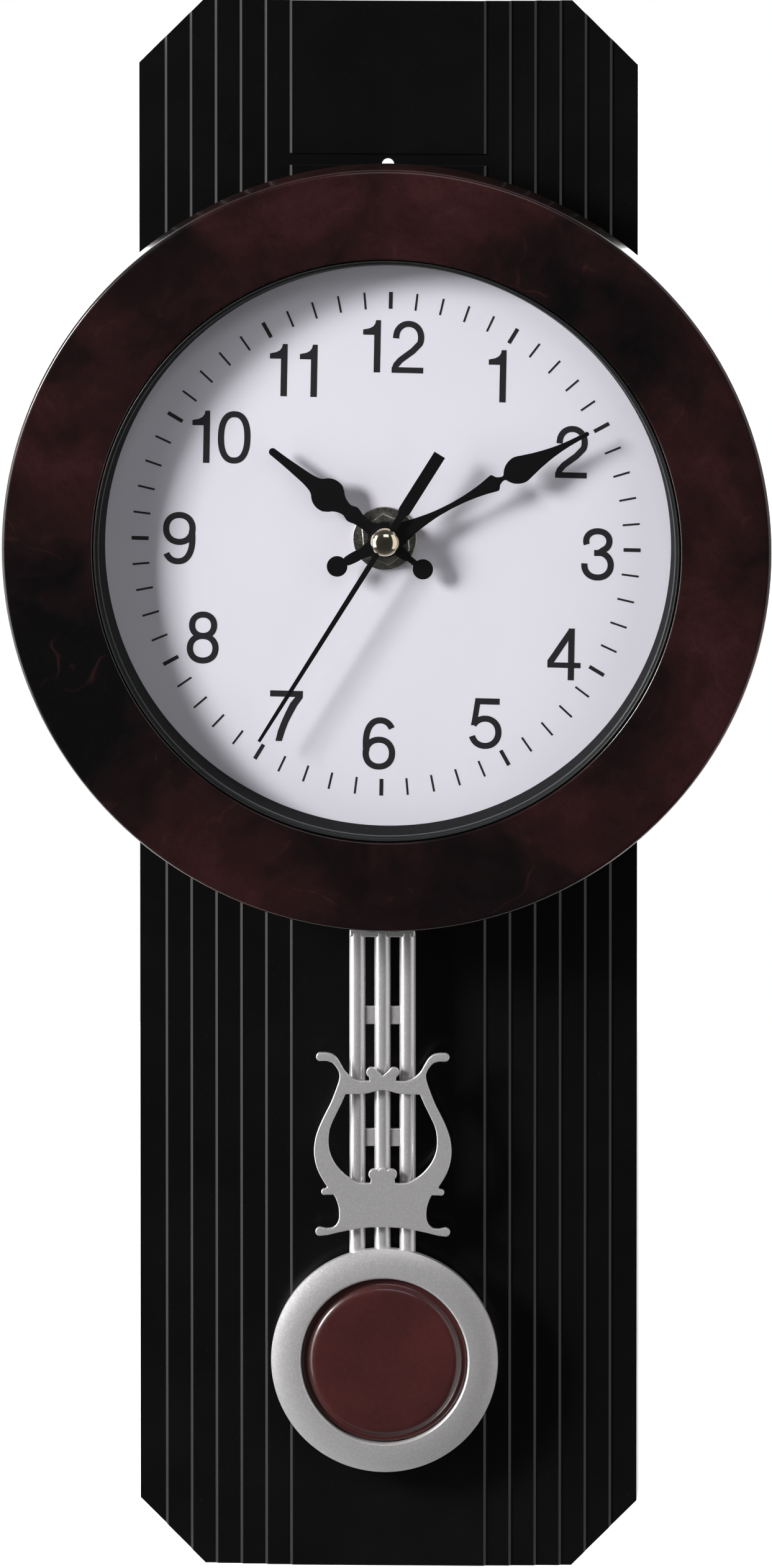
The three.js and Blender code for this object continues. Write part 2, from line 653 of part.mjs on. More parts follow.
function movementGroup() {
  const { gearPlastic, movementPlastic, steel, nickel } = MATERIAL;
  const pendulumZ = DRIVE_COIL.z - PIVOT_BELOW_SHAFT;
  return groupAt(
    0,
    SHAFT_Z,
    piece("movement_rear_housing", rearHousing(), movementPlastic),
    piece("movement_front_cover", frontCover(), movementPlastic),
    piece("rubber_gasket", ringWasher(GASKET, 32), MATERIAL.rubber),
    piece("mounting_washer", ringWasher(WASHER, MID_ROUND), nickel),
    piece("mounting_nut", mountingNut(), nickel),
    piece("train_plate", trainPlate(), gearPlastic),
    piece("stator_plate", statorPlate(), steel),
    piece("stepper_coil", stepperCoil(), MATERIAL.copper),
    piece("circuit_board", block([1.5, 25.5], [13.2, 14.2], [19.2, 26]), MATERIAL.board),
    piece("quartz_crystal", crossRod(1.5, 15, 21.5, 16, 22.6), steel),
    piece("battery", battery(), MATERIAL.batteryJacket),
    piece("battery_contact_positive", contactPositive(), nickel),
    piece("battery_contact_negative", contactNegative(), nickel),
    piece("pendulum_coil", pendulumCoil(), MATERIAL.copper, 0, pendulumZ),
    piece("pendulum_pivot_pin", rod(PIN.radius, PIN.back, PIN.front), steel, 0, -PIVOT_BELOW_SHAFT),
    piece("second_wheel", secondWheel(), gearPlastic),
    piece("intermediate_wheel", intermediateWheel(), gearPlastic, ...INTERMEDIATE_AT),
    piece("rotor", rotor(), MATERIAL.magnet, ...ROTOR_AT),
    piece("third_wheel", thirdWheel(), gearPlastic, ...THIRD_AT),
    piece("minute_wheel", minuteWheel(), gearPlastic),
    piece("motion_wheel", motionWheel(), gearPlastic, ...MOTION_AT),
    piece("hour_wheel", hourWheel(), gearPlastic),
    piece("set_knob", setKnob(), gearPlastic, ...KNOB_AT),
    handPiece("hour_hand", hourHand(), HOUR_HAND),
    handPiece("minute_hand", minuteHand(), MINUTE_HAND),
    handPiece("second_hand", secondHand(), SECOND_HAND),
    piece("second_hand_cap", secondHandCap(), MATERIAL.brass),
  );
}

// ---------------------------------------------------------------- hands

// A flat blade along +Z from points of [distance along the hand, half width].
function blade(half, back, front) {
  const right = half.map(([along, width]) => [width, along]);
  const left = half.map(([along, width]) => [-width, along]).reverse();
  return plate(outline([...right, ...left]), back, front);
}

function hourHand() {
  const { back, front, hub } = HOUR_HAND;
  const body = join(
    blade(
      [
        [-11, 0.75], [-7.4, 0.75], [-7, 1.2], [-4, 1.4], [4, 1.5], [6, 1.45], [8, 1.6],
        [9, 1.75], [10, 2.1], [11, 2], [12, 1.6], [13, 1.7], [14, 2.05], [15, 2.7],
        [21.5, 3], [22, 2.4], [23, 1.9], [24, 1.65], [26, 1.45], [30, 1.2], [34, 1], [35.9, 0.95],
      ],
      back,
      front,
    ),
    rod(4.3, back, front, 0, 18.2, 24),
    rod(0.95, back, front, 0, 35.85),
    rod(2.55, back, front, 0, -11.9),
    rod(hub, back, front, 0, 0, 24),
  );
  return cut(body, rod(HOUR_TUBE.outer + GAP, back - 1, front + 1));
}

function minuteHand() {
  const { back, front, hub } = MINUTE_HAND;
  const body = join(
    blade(
      [
        [-12, 1.15], [-9, 1.35], [-7, 1.3], [-5, 1.7], [-3, 2.2], [4, 3.1], [5, 2.6], [6, 2.3],
        [8, 1.8], [10, 1.4], [12, 1.1], [14, 0.85], [18, 0.7], [20, 0.7], [22, 0.8], [24, 1],
        [26, 1.2], [28, 1.55], [30, 2], [31, 2.2], [31.5, 1.95], [32, 1.2], [33, 0.65],
        [33.5, 0.5], [34, 0.75], [34.5, 1.55], [35, 2.1], [36, 2.9], [37, 3.25], [38, 3.45],
        [39, 3.35], [40, 3.05], [42, 2.45], [44, 1.9], [46, 1.5], [48, 1.15], [50, 0.85],
        [52, 0.7], [54, 0.6], [57.3, 0.57],
      ],
      back,
      front,
    ),
    rod(0.57, back, front, 0, 57.3),
    rod(2.6, back, front, 0, -13.7),
    rod(hub, back, front, 0, 0, 24),
  );
  return cut(body, rod(MINUTE_TUBE.outer + GAP, back - 1, front + 1));
}

function secondHand() {
  const { back, front, hub } = SECOND_HAND;
  const needle = blade([[0, 0.7], [10, 0.7], [50, 0.5], [59.8, 0.4]], back, front);
  const tail = blade([[-25.9, 1.55], [-9, 1.55], [-8, 1], [-7, 0.9], [0, 0.9]], back, front);
  const body = join(needle, tail, rod(hub, back, front, 0, 0, 24));
  return cut(body, rod(CAP.hole, back - 1, front + 1));
}

function secondHandCap() {
  const dome = arc(0, 0, CAP.radius, 0, 90, 6).map(([r, out]) => [
    Math.max(r, 0),
    CAP.equator + (out * CAP.rise) / CAP.radius,
  ]);
  dome[dome.length - 1][0] = 0;
  return turned(
    [
      [0, CAP.holeFront], [CAP.hole, CAP.holeFront], [CAP.hole, CAP.back],
      [CAP.radius - 0.3, CAP.back], ...dome,
    ],
    24,
  );
}

// A hand turned clockwise, in degrees past the twelve.
function handPiece(name, body, { turn }) {
  const mesh = piece(name, body, MATERIAL.handBlack);
  mesh.rotation.y = turn * degrees;
  return mesh;
}

// ---------------------------------------------------------------- pendulum

function pendulumArm() {
  const { halfWidth, eye, back, front, bottom, stud, studZ } = ARM;
  const strip = block([-halfWidth, halfWidth], [back, front], [bottom, 0]);
  const body = join(strip, rod(eye, back, front), rod(stud, front - 0.5, front + 2.6, 0, studZ, 12));
  return cut(body, rod(PIN.radius + GAP, back - 1, front + 1));
}

// A rod's section: a flat back, short straight sides and an elliptical crown.
function rodSection(x) {
  const half = RODS.width / 2;
  const section = new THREE.Shape();
  section.moveTo(x + half, -RODS.back);
  section.lineTo(x - half, -RODS.back);
  section.lineTo(x - half, -RODS.back - RODS.side);
  section.absellipse(x, -RODS.back - RODS.side, half, RODS.crown, Math.PI, 2 * Math.PI);
  return section;
}

function pendulumRods() {
  const front = RODS.back + RODS.side + RODS.crown;
  const { halfWidth, bottom, top, tongueHalf, tongueTop, back } = ROD_HEAD;
  const rods = [-1, 0, 1].map((i) => column(rodSection(i * RODS.pitch), BOB.z + 20, bottom + 1, 6));
  const bars = CROSS_BARS.map(([low, high]) => block([-RODS.pitch, RODS.pitch], [22.9, 24.4], [low, high]));
  const head = block([-halfWidth, halfWidth], [RODS.back, front - 0.2], [bottom, top]);
  const tongue = block([-tongueHalf, tongueHalf], [back, front - 0.2], [top - 1, tongueTop]);
  const bobX = HUNG.bob - HUNG.rods;
  const disc = rod(BOB.outer - 0.5, BOB.discBack, BOB.back - GAP, bobX, BOB.z, MID_ROUND);
  const seat = rod(BOB.outer + GAP, BOB.back - GAP, front + 1, bobX, BOB.z, MID_ROUND);
  const eye = rod(ARM.stud + GAP, back - 1, front + 1, -HUNG.rods, ARM.studZ, 12);
  return cut(join(...rods, ...bars, head, tongue, disc), seat, eye);
}

// Right half of the lyre's outline, measured down from the top of its horns.
function lyreOutline() {
  return mirrored([
    [0, -5.9],
    ...arc(3.05, -5, 1.33, 150, -60, 6),
    ...smooth([[3.4, -7.1], [5.8, -7.2], [8.4, -5.9], [10.5, -3], [12.1, -0.8], [14.4, -0.05]], 12),
    ...arc(15.66, -1.13, 1.08, 90, -90, 5),
    ...smooth([[14.2, -2.14], [12.3, -3], [10.9, -5.7], [13.1, -12.9], [16, -19], [17.26, -24.6]], 12),
    ...smooth([[17.26, -25.2], [16.5, -29.5], [13.85, -34.3]], 5),
    ...arc(14.64, -35.45, 0.82, 110, -110, 5),
    ...smooth([[12.3, -36.2], [11.1, -39.3], [11.1, -42.5], [12.6, -44.5], [14.4, -44.8]], 8),
    ...arc(15.78, -45.54, 1.13, 110, -100, 5),
    ...smooth([[13.9, -46.5], [8.5, -45.2], [0, -44.4]], 5),
  ]);
}

function lyreOpening() {
  return mirrored([
    [0, -9.5],
    ...smooth([[1.1, -9.6], [3.5, -10.3], [9.36, -10.6]], 4),
    ...smooth([[10.3, -12.8], [12.9, -18.3], [13.6, -23.2], [11, -29.6], [6, -33.15]], 12),
    [3.1, -33.15],
    ...arc(2.27, -30.8, 1.3, -50, 125, 6),
    [0.85, -29.6],
    [0, -29.4],
  ]);
}

function lyrePlate() {
  const body = plate(lyreOutline(), LYRE.back, LYRE.front);
  return cut(body, plate(lyreOpening(), LYRE.back - 1, LYRE.front + 1));
}

function bobRing() {
  const { outer, inner, back, face } = BOB;
  const profile = [
    [inner, back], [outer, back], [outer, face - 1.1], [outer - 1.2, face],
    [inner + 1.2, face], [inner, face - 0.8],
  ];
  return turned(profile, MID_ROUND);
}

function bobInsert() {
  const { radius, back, flange, plateau } = INSERT;
  const profile = [
    [0, back], [radius, back], [radius, flange], [radius - 1.2, flange],
    [radius - 1.7, plateau - 0.4], [radius - 2.3, plateau], [0, plateau],
  ];
  return turned(profile, MID_ROUND);
}

function pendulumGroup() {
  const { steel, silverPaint, burgundy, magnet } = MATERIAL;
  const { radius, z, back, front } = MAGNET;
  return groupAt(
    0,
    SHAFT_Z - PIVOT_BELOW_SHAFT,
    piece("pendulum_arm", pendulumArm(), steel),
    piece("pendulum_magnet", rod(radius, back, front), magnet, 0, z),
    piece("pendulum_rods", pendulumRods(), silverPaint, HUNG.rods),
    piece("lyre_plate", lyrePlate(), silverPaint, HUNG.lyre, LYRE.top),
    piece("bob_ring", bobRing(), silverPaint, HUNG.bob, BOB.z),
    piece("bob_insert", bobInsert(), burgundy, HUNG.bob, BOB.z),
  );
}

// ---------------------------------------------------------------- the clock

const group = new THREE.Group();
group.add(
  piece("case_shell", caseShell(), MATERIAL.caseBlack),
  bezelGroup(),
  movementGroup(),
  pendulumGroup(),
);

export default group;
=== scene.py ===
import json
import math

import bmesh
import bpy
from mathutils import Matrix, Vector, geometry

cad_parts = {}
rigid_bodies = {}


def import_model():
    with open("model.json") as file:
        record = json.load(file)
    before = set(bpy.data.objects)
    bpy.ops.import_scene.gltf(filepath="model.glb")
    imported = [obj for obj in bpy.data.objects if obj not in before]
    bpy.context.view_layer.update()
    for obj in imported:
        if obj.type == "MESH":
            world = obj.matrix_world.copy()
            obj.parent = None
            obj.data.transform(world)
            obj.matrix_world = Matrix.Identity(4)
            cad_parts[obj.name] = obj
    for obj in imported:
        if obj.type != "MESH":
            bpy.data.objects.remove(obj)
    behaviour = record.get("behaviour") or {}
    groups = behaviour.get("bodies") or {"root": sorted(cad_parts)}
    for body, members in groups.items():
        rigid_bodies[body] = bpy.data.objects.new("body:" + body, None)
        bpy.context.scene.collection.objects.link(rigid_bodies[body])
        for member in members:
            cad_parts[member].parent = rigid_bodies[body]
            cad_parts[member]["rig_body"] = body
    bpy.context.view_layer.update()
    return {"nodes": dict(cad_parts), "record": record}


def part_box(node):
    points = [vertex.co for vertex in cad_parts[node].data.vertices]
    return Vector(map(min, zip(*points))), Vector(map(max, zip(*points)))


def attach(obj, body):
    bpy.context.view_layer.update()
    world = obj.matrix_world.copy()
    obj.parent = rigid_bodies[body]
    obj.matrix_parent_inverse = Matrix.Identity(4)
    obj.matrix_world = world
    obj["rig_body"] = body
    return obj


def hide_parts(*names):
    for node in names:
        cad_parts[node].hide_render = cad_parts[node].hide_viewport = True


# The looks of the pendulum wall clock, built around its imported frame. Outlines and profiles are
# written in millimetres and become metres when their mesh is made. "Out" is the distance from
# the wall, so y = -out. Places and depths come from the frame's own boxes.

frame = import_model()

MM = 0.001
ROUND = 192  # sides of the large turned pieces
SMALL_ROUND = 64


def centre(node):
    """The middle of a node in x and z, in millimetres."""
    low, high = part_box(node)
    return (low.x + high.x) / 2 / MM, (low.z + high.z) / 2 / MM


def depth(node):
    """How far out the back and the front of a node are, in millimetres."""
    low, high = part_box(node)
    return -high.y / MM, -low.y / MM


def half_width(node):
    low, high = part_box(node)
    return (high.x - low.x) / 2 / MM


# ---------------------------------------------------------------- node helpers


class Nodes:
    """A short way to write a material's node tree."""

    def __init__(self, name):
        self.material = bpy.data.materials.new(name)
        self.material.use_nodes = True
        self.tree = self.material.node_tree
        self.shader = self.tree.nodes["Principled BSDF"]

    def add(self, kind, inputs=None, **settings):
        node = self.tree.nodes.new(kind)
        for key, value in settings.items():
            setattr(node, key, value)
        for key, value in (inputs or {}).items():
            self.put(node.inputs[key], value)
        return node

    def put(self, socket, value):
        if isinstance(value, bpy.types.NodeSocket):
            self.tree.links.new(value, socket)
        else:
            socket.default_value = value

    def place(self):
        return self.add("ShaderNodeTexCoord").outputs["Object"]

    def noise(self, scale, detail=3.0, rough=0.5, at=None, distortion=0.0):
        inputs = {"Scale": scale, "Detail": detail, "Roughness": rough, "Distortion": distortion}
        inputs["Vector"] = at or self.place()
        return self.add("ShaderNodeTexNoise", inputs).outputs["Fac"]

    def cells(self, scale, feature="F1", output="Distance", at=None):
        inputs = {"Scale": scale, "Vector": at or self.place()}
        return self.add("ShaderNodeTexVoronoi", inputs, feature=feature).outputs[output]

    def spread(self, value, low, high, start=0.0, end=1.0):
        """Value from start..end, moved to low..high."""
        inputs = {"Value": value, 1: start, 2: end, 3: low, 4: high}
        return self.add("ShaderNodeMapRange", inputs).outputs["Result"]

    def math(self, operation, a, b=0.0):
        return self.add("ShaderNodeMath", {0: a, 1: b}, operation=operation).outputs[0]

    def ramp(self, value, *stops):
        """Colours by position: (position, linear colour)."""
        node = self.add("ShaderNodeValToRGB", {"Fac": value})
        elements = node.color_ramp.elements
        while len(elements) < len(stops):
            elements.new(0.5)
        for element, (position, color) in zip(elements, stops):
            element.position = position
            element.color = (*color, 1.0)
        return node.outputs["Color"]

    def mix(self, share, a, b, blend="MIX"):
        node = self.add("ShaderNodeMix", data_type="RGBA", blend_type=blend)
        for socket, value in ((node.inputs[0], share), (node.inputs[6], a), (node.inputs[7], b)):
            if isinstance(value, tuple):
                value = (*value, 1.0)
            self.put(socket, value)
        return node.outputs[2]

    def bump(self, height, strength, distance):
        inputs = {"Height": height, "Strength": strength, "Distance": distance * MM}
        normal = self.add("ShaderNodeBump", inputs).outputs["Normal"]
        self.put(self.shader.inputs["Normal"], normal)

    def set(self, **values):
        for key, value in values.items():
            self.put(self.shader.inputs[key.replace("_", " ").title().replace("Ior", "IOR")], value)


def linear(*rgb):
    """An sRGB colour, 0 to 255, as linear light."""
    return tuple(
        c / 255 / 12.92 if c / 255 <= 0.04045 else ((c / 255 + 0.055) / 1.055) ** 2.4 for c in rgb
    )


def scaled(color, factor):
    return tuple(min(1.0, c * factor) for c in color)


def plain(
    name, color, roughness, metallic=0.0, mottle=0.15, grain=600, bump=0.1, relief=0.02, specular=0.5
):
    """A moulded or metal surface: slightly uneven colour and roughness, fine relief."""
    n = Nodes(name)
    cloud = n.noise(grain / 6, detail=4.0)
    fine = n.noise(grain * 4, detail=2.0)
    base = n.ramp(cloud, (0.3, scaled(color, 1 - mottle)), (0.7, scaled(color, 1 + mottle)))
    n.set(base_color=base, metallic=metallic, specular_ior_level=specular)
    n.set(roughness=n.spread(fine, roughness * 0.85, roughness * 1.15, 0.3, 0.7))
    n.bump(fine, bump, relief)
    return n.material


def case_black():
    n = Nodes("case_black")
    fine = n.noise(2600, detail=3.0)
    smudge = n.noise(38, detail=4.0, rough=0.6)
    speck = n.cells(420)
    dust = n.spread(speck, 1.0, 0.0, 0.02, 0.05)
    base = n.ramp(smudge, (0.3, linear(12, 12, 12)), (0.75, linear(16, 16, 16)))
    n.set(base_color=n.mix(n.math("MULTIPLY", dust, 0.25), base, linear(90, 90, 92)))
    n.set(roughness=n.spread(smudge, 0.2, 0.27, 0.3, 0.7), specular_ior_level=0.3)
    n.bump(fine, 0.05, 0.02)
    return n.material


def burl():
    """Dark burgundy root wood under lacquer: soft clouds, a fine grain and a few faint veins."""
    n = Nodes("burl_plastic")
    at = n.place()
    swirl = n.add("ShaderNodeTexNoise", {"Vector": at, "Scale": 30.0, "Detail": 3.0}).outputs["Color"]
    offset = n.add("ShaderNodeVectorMath", {0: swirl, 1: (0.5, 0.5, 0.5)}, operation="SUBTRACT")
    push = n.add("ShaderNodeVectorMath", {0: offset.outputs[0], 3: 0.03}, operation="SCALE")
    bent = n.add("ShaderNodeVectorMath", {0: at, 1: push.outputs[0]}, operation="ADD").outputs[0]
    clouds = n.noise(15, detail=4.0, rough=0.5, at=bent)
    mottle = n.noise(95, detail=5.0, rough=0.6, at=bent)
    speckle = n.noise(900, detail=2.0)
    blend = n.math("ADD", n.math("MULTIPLY", clouds, 0.82), n.math("MULTIPLY", mottle, 0.18))
    wood = n.ramp(
        blend,
        (0.38, linear(10, 9, 10)),
        (0.46, linear(26, 15, 16)),
        (0.55, linear(45, 23, 24)),
        (0.68, linear(68, 36, 37)),
    )
    vein = n.cells(38, feature="DISTANCE_TO_EDGE", at=bent)
    line = n.math("MULTIPLY", n.spread(vein, 1.0, 0.0, 0.0, 0.014), n.spread(mottle, 0.0, 0.2, 0.5, 0.65))
    wood = n.mix(line, wood, linear(88, 48, 48))
    wood = n.mix(n.spread(speckle, 0.0, 0.25, 0.45, 0.75), wood, linear(20, 12, 13))
    n.set(base_color=wood, roughness=n.spread(mottle, 0.2, 0.28, 0.3, 0.7))
    n.set(coat_weight=0.5, coat_roughness=0.1, specular_ior_level=0.3)
    n.bump(mottle, 0.06, 0.05)
    return n.material


def silver_paint():
    """Metallic paint: a pearly grey with flakes that each catch the light a little differently."""
    n = Nodes("silver_paint")
    flake = n.cells(5500, output="Color")
    value = n.add("ShaderNodeSeparateColor", {"Color": flake}).outputs[0]
    cloud = n.noise(1500, detail=3.0)
    level = n.math("ADD", n.math("MULTIPLY", value, 0.55), n.math("MULTIPLY", cloud, 0.45))
    base = n.ramp(level, (0.25, (0.63, 0.62, 0.625)), (0.6, (0.67, 0.66, 0.665)), (0.85, (0.8, 0.79, 0.79)))
    n.set(base_color=base, metallic=0.55)
    n.set(roughness=n.spread(value, 0.29, 0.38))
    n.bump(value, 0.06, 0.012)
    return n.material


def burgundy_gloss():
    n = Nodes("burgundy_gloss")
    cloud = n.noise(60, detail=3.0)
    fine = n.noise(900, detail=2.0)
    n.set(base_color=n.ramp(cloud, (0.3, linear(64, 29, 29)), (0.7, linear(77, 36, 35))))
    n.set(roughness=n.spread(fine, 0.28, 0.38, 0.3, 0.7), coat_weight=0.5, coat_roughness=0.1)
    n.bump(cloud, 0.08, 0.1)
    return n.material


def dial_white():
    n = Nodes("dial_white")
    cloud = n.noise(25, detail=3.0)
    fibre = n.noise(3000, detail=3.0)
    n.set(base_color=n.ramp(cloud, (0.3, (0.80, 0.785, 0.87)), (0.7, (0.83, 0.815, 0.895))))
    n.set(roughness=n.spread(fibre, 0.55, 0.68, 0.3, 0.7), specular_ior_level=0.25)
    n.bump(fibre, 0.06, 0.02)
    return n.material


def print_ink():
    n = Nodes("dial_print")
    grain = n.noise(2500, detail=3.0)
    n.set(base_color=n.ramp(grain, (0.3, linear(26, 26, 30)), (0.7, linear(36, 36, 40))))
    n.set(roughness=n.spread(grain, 0.45, 0.6), specular_ior_level=0.3)
    return n.material


def clear_lens():
    """Clear sheet: almost invisible from the front, a pale sheen where it is seen edge on."""
    n = Nodes("clear_lens")
    facing = n.add("ShaderNodeLayerWeight", {"Blend": 0.25}).outputs["Facing"]
    haze = n.noise(20, detail=2.0)
    n.set(base_color=n.ramp(haze, (0.3, (0.46, 0.48, 0.50)), (0.7, (0.50, 0.52, 0.54))))
    n.set(roughness=n.spread(haze, 0.03, 0.06), alpha=n.spread(facing, 0.003, 0.2, 0.1, 1.0))
    return n.material


def turned_metal(name, color, roughness, relief=0.01):
    """Bare metal, a little worn, with a fine grain."""
    n = Nodes(name)
    fine = n.noise(1800, detail=3.0)
    worn = n.noise(220, detail=4.0)
    n.set(base_color=n.ramp(worn, (0.3, scaled(color, 0.85)), (0.7, scaled(color, 1.1))), metallic=1.0)
    n.set(roughness=n.spread(fine, roughness * 0.7, roughness * 1.3, 0.3, 0.7))
    n.bump(fine, 0.1, relief)
    return n.material


MATERIAL = {
    "case_black": case_black(),
    "burl_plastic": burl(),
    # rim_black, used for the lip, is a grey lighter than the matt wall's black. The colour is painted sheen
    # on a black lip; the lip's lower roughness is real.
    "rim_black": plain("rim_black", linear(34, 37, 37), 0.36, mottle=0.1, grain=900),
    "pan_black": plain("pan_black", linear(24, 24, 26), 0.55),
    "dial_white": dial_white(),
    "clear_lens": clear_lens(),
    "hand_black": plain("hand_black", linear(7, 7, 9), 0.5, mottle=0.1, grain=1500, specular=0.12),
    "brass": turned_metal("brass", (0.78, 0.70, 0.52), 0.12, 0.001),
    "nickel": turned_metal("nickel", (0.62, 0.6, 0.54), 0.28, 0.003),
    "steel": turned_metal("steel", (0.56, 0.56, 0.57), 0.3),
    "silver_paint": silver_paint(),
    "burgundy_gloss": burgundy_gloss(),
    "movement_plastic": plain("movement_plastic", linear(27, 27, 29), 0.5, bump=0.3),
    "gear_plastic": plain("gear_plastic", linear(222, 222, 212), 0.45, mottle=0.06),
    "rubber": plain("rubber", linear(20, 20, 20), 0.85, bump=0.35, relief=0.05),
    "board_green": plain("board_green", linear(24, 82, 46), 0.4),
    "copper": plain("copper", linear(176, 106, 60), 0.3, metallic=0.9),
    "magnet_grey": plain("magnet_grey", linear(84, 86, 90), 0.4, metallic=0.7),
    "battery_jacket": plain("battery_jacket", linear(40, 56, 104), 0.3, mottle=0.08),
}
INK = print_ink()
MATT_WALL = plain("rim_wall_matt", linear(11, 12, 13), 0.85, mottle=0.1, grain=900, specular=0.15)


# ---------------------------------------------------------------- mesh helpers


def filleted(corners, steps=4):
    """Points (a, b) of a profile whose corners (a, b, setback) are rounded."""
    points = []
    count = len(corners)
    for i, corner in enumerate(corners):
        at = Vector(corner[:2])
        setback = corner[2] if len(corner) > 2 else 0.0
        before = Vector(corners[i - 1][:2]) - at
        after = Vector(corners[(i + 1) % count][:2]) - at
        if setback <= 0:
            points.append(tuple(at))
            continue
        start = at + before.normalized() * min(setback, before.length * 0.49)
        end = at + after.normalized() * min(setback, after.length * 0.49)
        for k in range(steps + 1):
            t = k / steps
            points.append(tuple(start * (1 - t) ** 2 + at * (2 * t * (1 - t)) + end * t * t))
    return points


def finish_mesh(name, bm, material, sharp=35.0):
    """A smooth-shaded object from a bmesh in metres, with its normals outward."""
    bmesh.ops.remove_doubles(bm, verts=bm.verts, dist=1e-7)
    bmesh.ops.recalc_face_normals(bm, faces=bm.faces)
    mesh = bpy.data.meshes.new(name)
    bm.to_mesh(mesh)
    bm.free()
    for polygon in mesh.polygons:
        polygon.use_smooth = True
    mesh.set_sharp_from_angle(angle=math.radians(sharp))
    mesh.materials.append(material)
    obj = bpy.data.objects.new(name, mesh)
    bpy.context.scene.collection.objects.link(obj)
    return obj


def even_normals(obj):
    """Large flat faces keep flat shading up to their rounded edges."""
    modifier = obj.modifiers.new("even_normals", "WEIGHTED_NORMAL")
    modifier.keep_sharp = True
    return obj


def turned(name, corners, at, material, sides=ROUND, axis="Y", steps=4):
    """A turned piece: a profile of (radius, out, setback) about the Y axis, or (radius, x, setback)
    about an X axis through at = (z, out)."""
    profile = filleted(corners, steps)
    bm = bmesh.new()
    rings = []
    for radius, along in profile:
        if radius < 1e-6:
            angles = [0.0]
        else:
            angles = [2 * math.pi * k / sides for k in range(sides)]
        ring = []
        for angle in angles:
            across, up = radius * math.cos(angle), radius * math.sin(angle)
            if axis == "Y":
                co = (at[0] + across, -along, at[1] + up)
            else:
                co = (along, -(at[1] + across), at[0] + up)
            ring.append(bm.verts.new(Vector(co) * MM))
        rings.append(ring)
    open_ended = len(rings[0]) == 1
    pairs = list(zip(rings, rings[1:]))
    if not open_ended:
        pairs.append((rings[-1], rings[0]))
    for a, b in pairs:
        for k in range(max(len(a), len(b))):
            quad = [a[k % len(a)], a[(k + 1) % len(a)], b[(k + 1) % len(b)], b[k % len(b)]]
            corners_used = list(dict.fromkeys(quad))
            if len(corners_used) > 2:
                bm.faces.new(corners_used)
    return even_normals(finish_mesh(name, bm, material))


def place_flat(x, z, out, turn=0.0):
    """From a drawing plane, whose normal points out of the wall, to the clock. Clockwise turn."""
    upright = Matrix.Rotation(math.pi / 2, 4, "X")
    return (
        Matrix.Translation(Vector((x, -out, z)) * MM)
        @ Matrix.Rotation(math.radians(turn), 4, "Y")
        @ upright
    )


def wound(loop, clockwise):
    """A closed outline with its points in the given direction."""
    area = sum(a[0] * b[1] - b[0] * a[1] for a, b in zip(loop, [*loop[1:], loop[0]]))
    return loop if (area < 0) == clockwise else list(reversed(loop))


def plate(name, loops, back, front, edge, material, x=0.0, z=0.0, turn=0.0, rounds=3):
    """A flat piece cut to an outline, the first loop, and its holes, with rounded edges."""
    curve = bpy.data.curves.new(name + "_outline", "CURVE")
    curve.dimensions = "2D"
    curve.fill_mode = "BOTH"
    curve.extrude = (front - back) / 2 * MM - edge * MM
    curve.bevel_depth = edge * MM
    curve.bevel_resolution = rounds
    curve.offset = -edge * MM
    for i, loop in enumerate(loops):
        spline = curve.splines.new("POLY")
        spline.points.add(len(loop) - 1)
        for point, (px, pz) in zip(spline.points, wound(loop, i > 0)):
            point.co = (px * MM, pz * MM, 0.0, 1.0)
        spline.use_cyclic_u = True
    holder = bpy.data.objects.new(name + "_outline", curve)
    bpy.context.scene.collection.objects.link(holder)
    bpy.context.view_layer.update()
    mesh = bpy.data.meshes.new_from_object(
        holder.evaluated_get(bpy.context.evaluated_depsgraph_get())
    )
    bpy.data.objects.remove(holder)
    bpy.data.curves.remove(curve)
    bm = bmesh.new()
    bm.from_mesh(mesh)
    bpy.data.meshes.remove(mesh)
    bm.transform(place_flat(x, z, (back + front) / 2, turn))
    return even_normals(finish_mesh(name, bm, material, 40.0))


def refined(node, material, edge, segments=2, angle=30.0, name=None):
    """A CAD node's own shape, cleaned of its facets' seams, with its hard edges rounded."""
    bm = bmesh.new()
    bm.from_mesh(frame["nodes"][node].data)
    bmesh.ops.remove_doubles(bm, verts=bm.verts, dist=1e-6)
    flat = math.radians(1.0)
    bmesh.ops.dissolve_limit(bm, angle_limit=flat, verts=bm.verts, edges=bm.edges)
    hard = [
        e for e in bm.edges if len(e.link_faces) == 2 and e.calc_face_angle(0) > math.radians(angle)
    ]
    bmesh.ops.bevel(
        bm, geom=hard, offset=edge * MM, segments=segments, profile=0.5, affect="EDGES",
        clamp_overlap=True,
    )
    obj = finish_mesh(name or node + "_body", bm, material, 45.0)
    return even_normals(obj)


def put(obj, body, slot, *nodes):
    """Rides on a body and stands for CAD nodes. The slot argument is not used."""
    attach(obj, body)
    if nodes:
        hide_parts(*nodes)
    return obj


def ring_points(x, z, rx, rz, start, end, steps, power=2.0):
    """Points of a (super)ellipse, angles in degrees from +X towards +Z."""
    points = []
    for k in range(steps + 1):
        angle = math.radians(start + (end - start) * k / steps)
        c, s = math.cos(angle), math.sin(angle)
        points.append(
            (
                x + rx * math.copysign(abs(c) ** (2 / power), c),
                z + rz * math.copysign(abs(s) ** (2 / power), s),
            )
        )
    return points


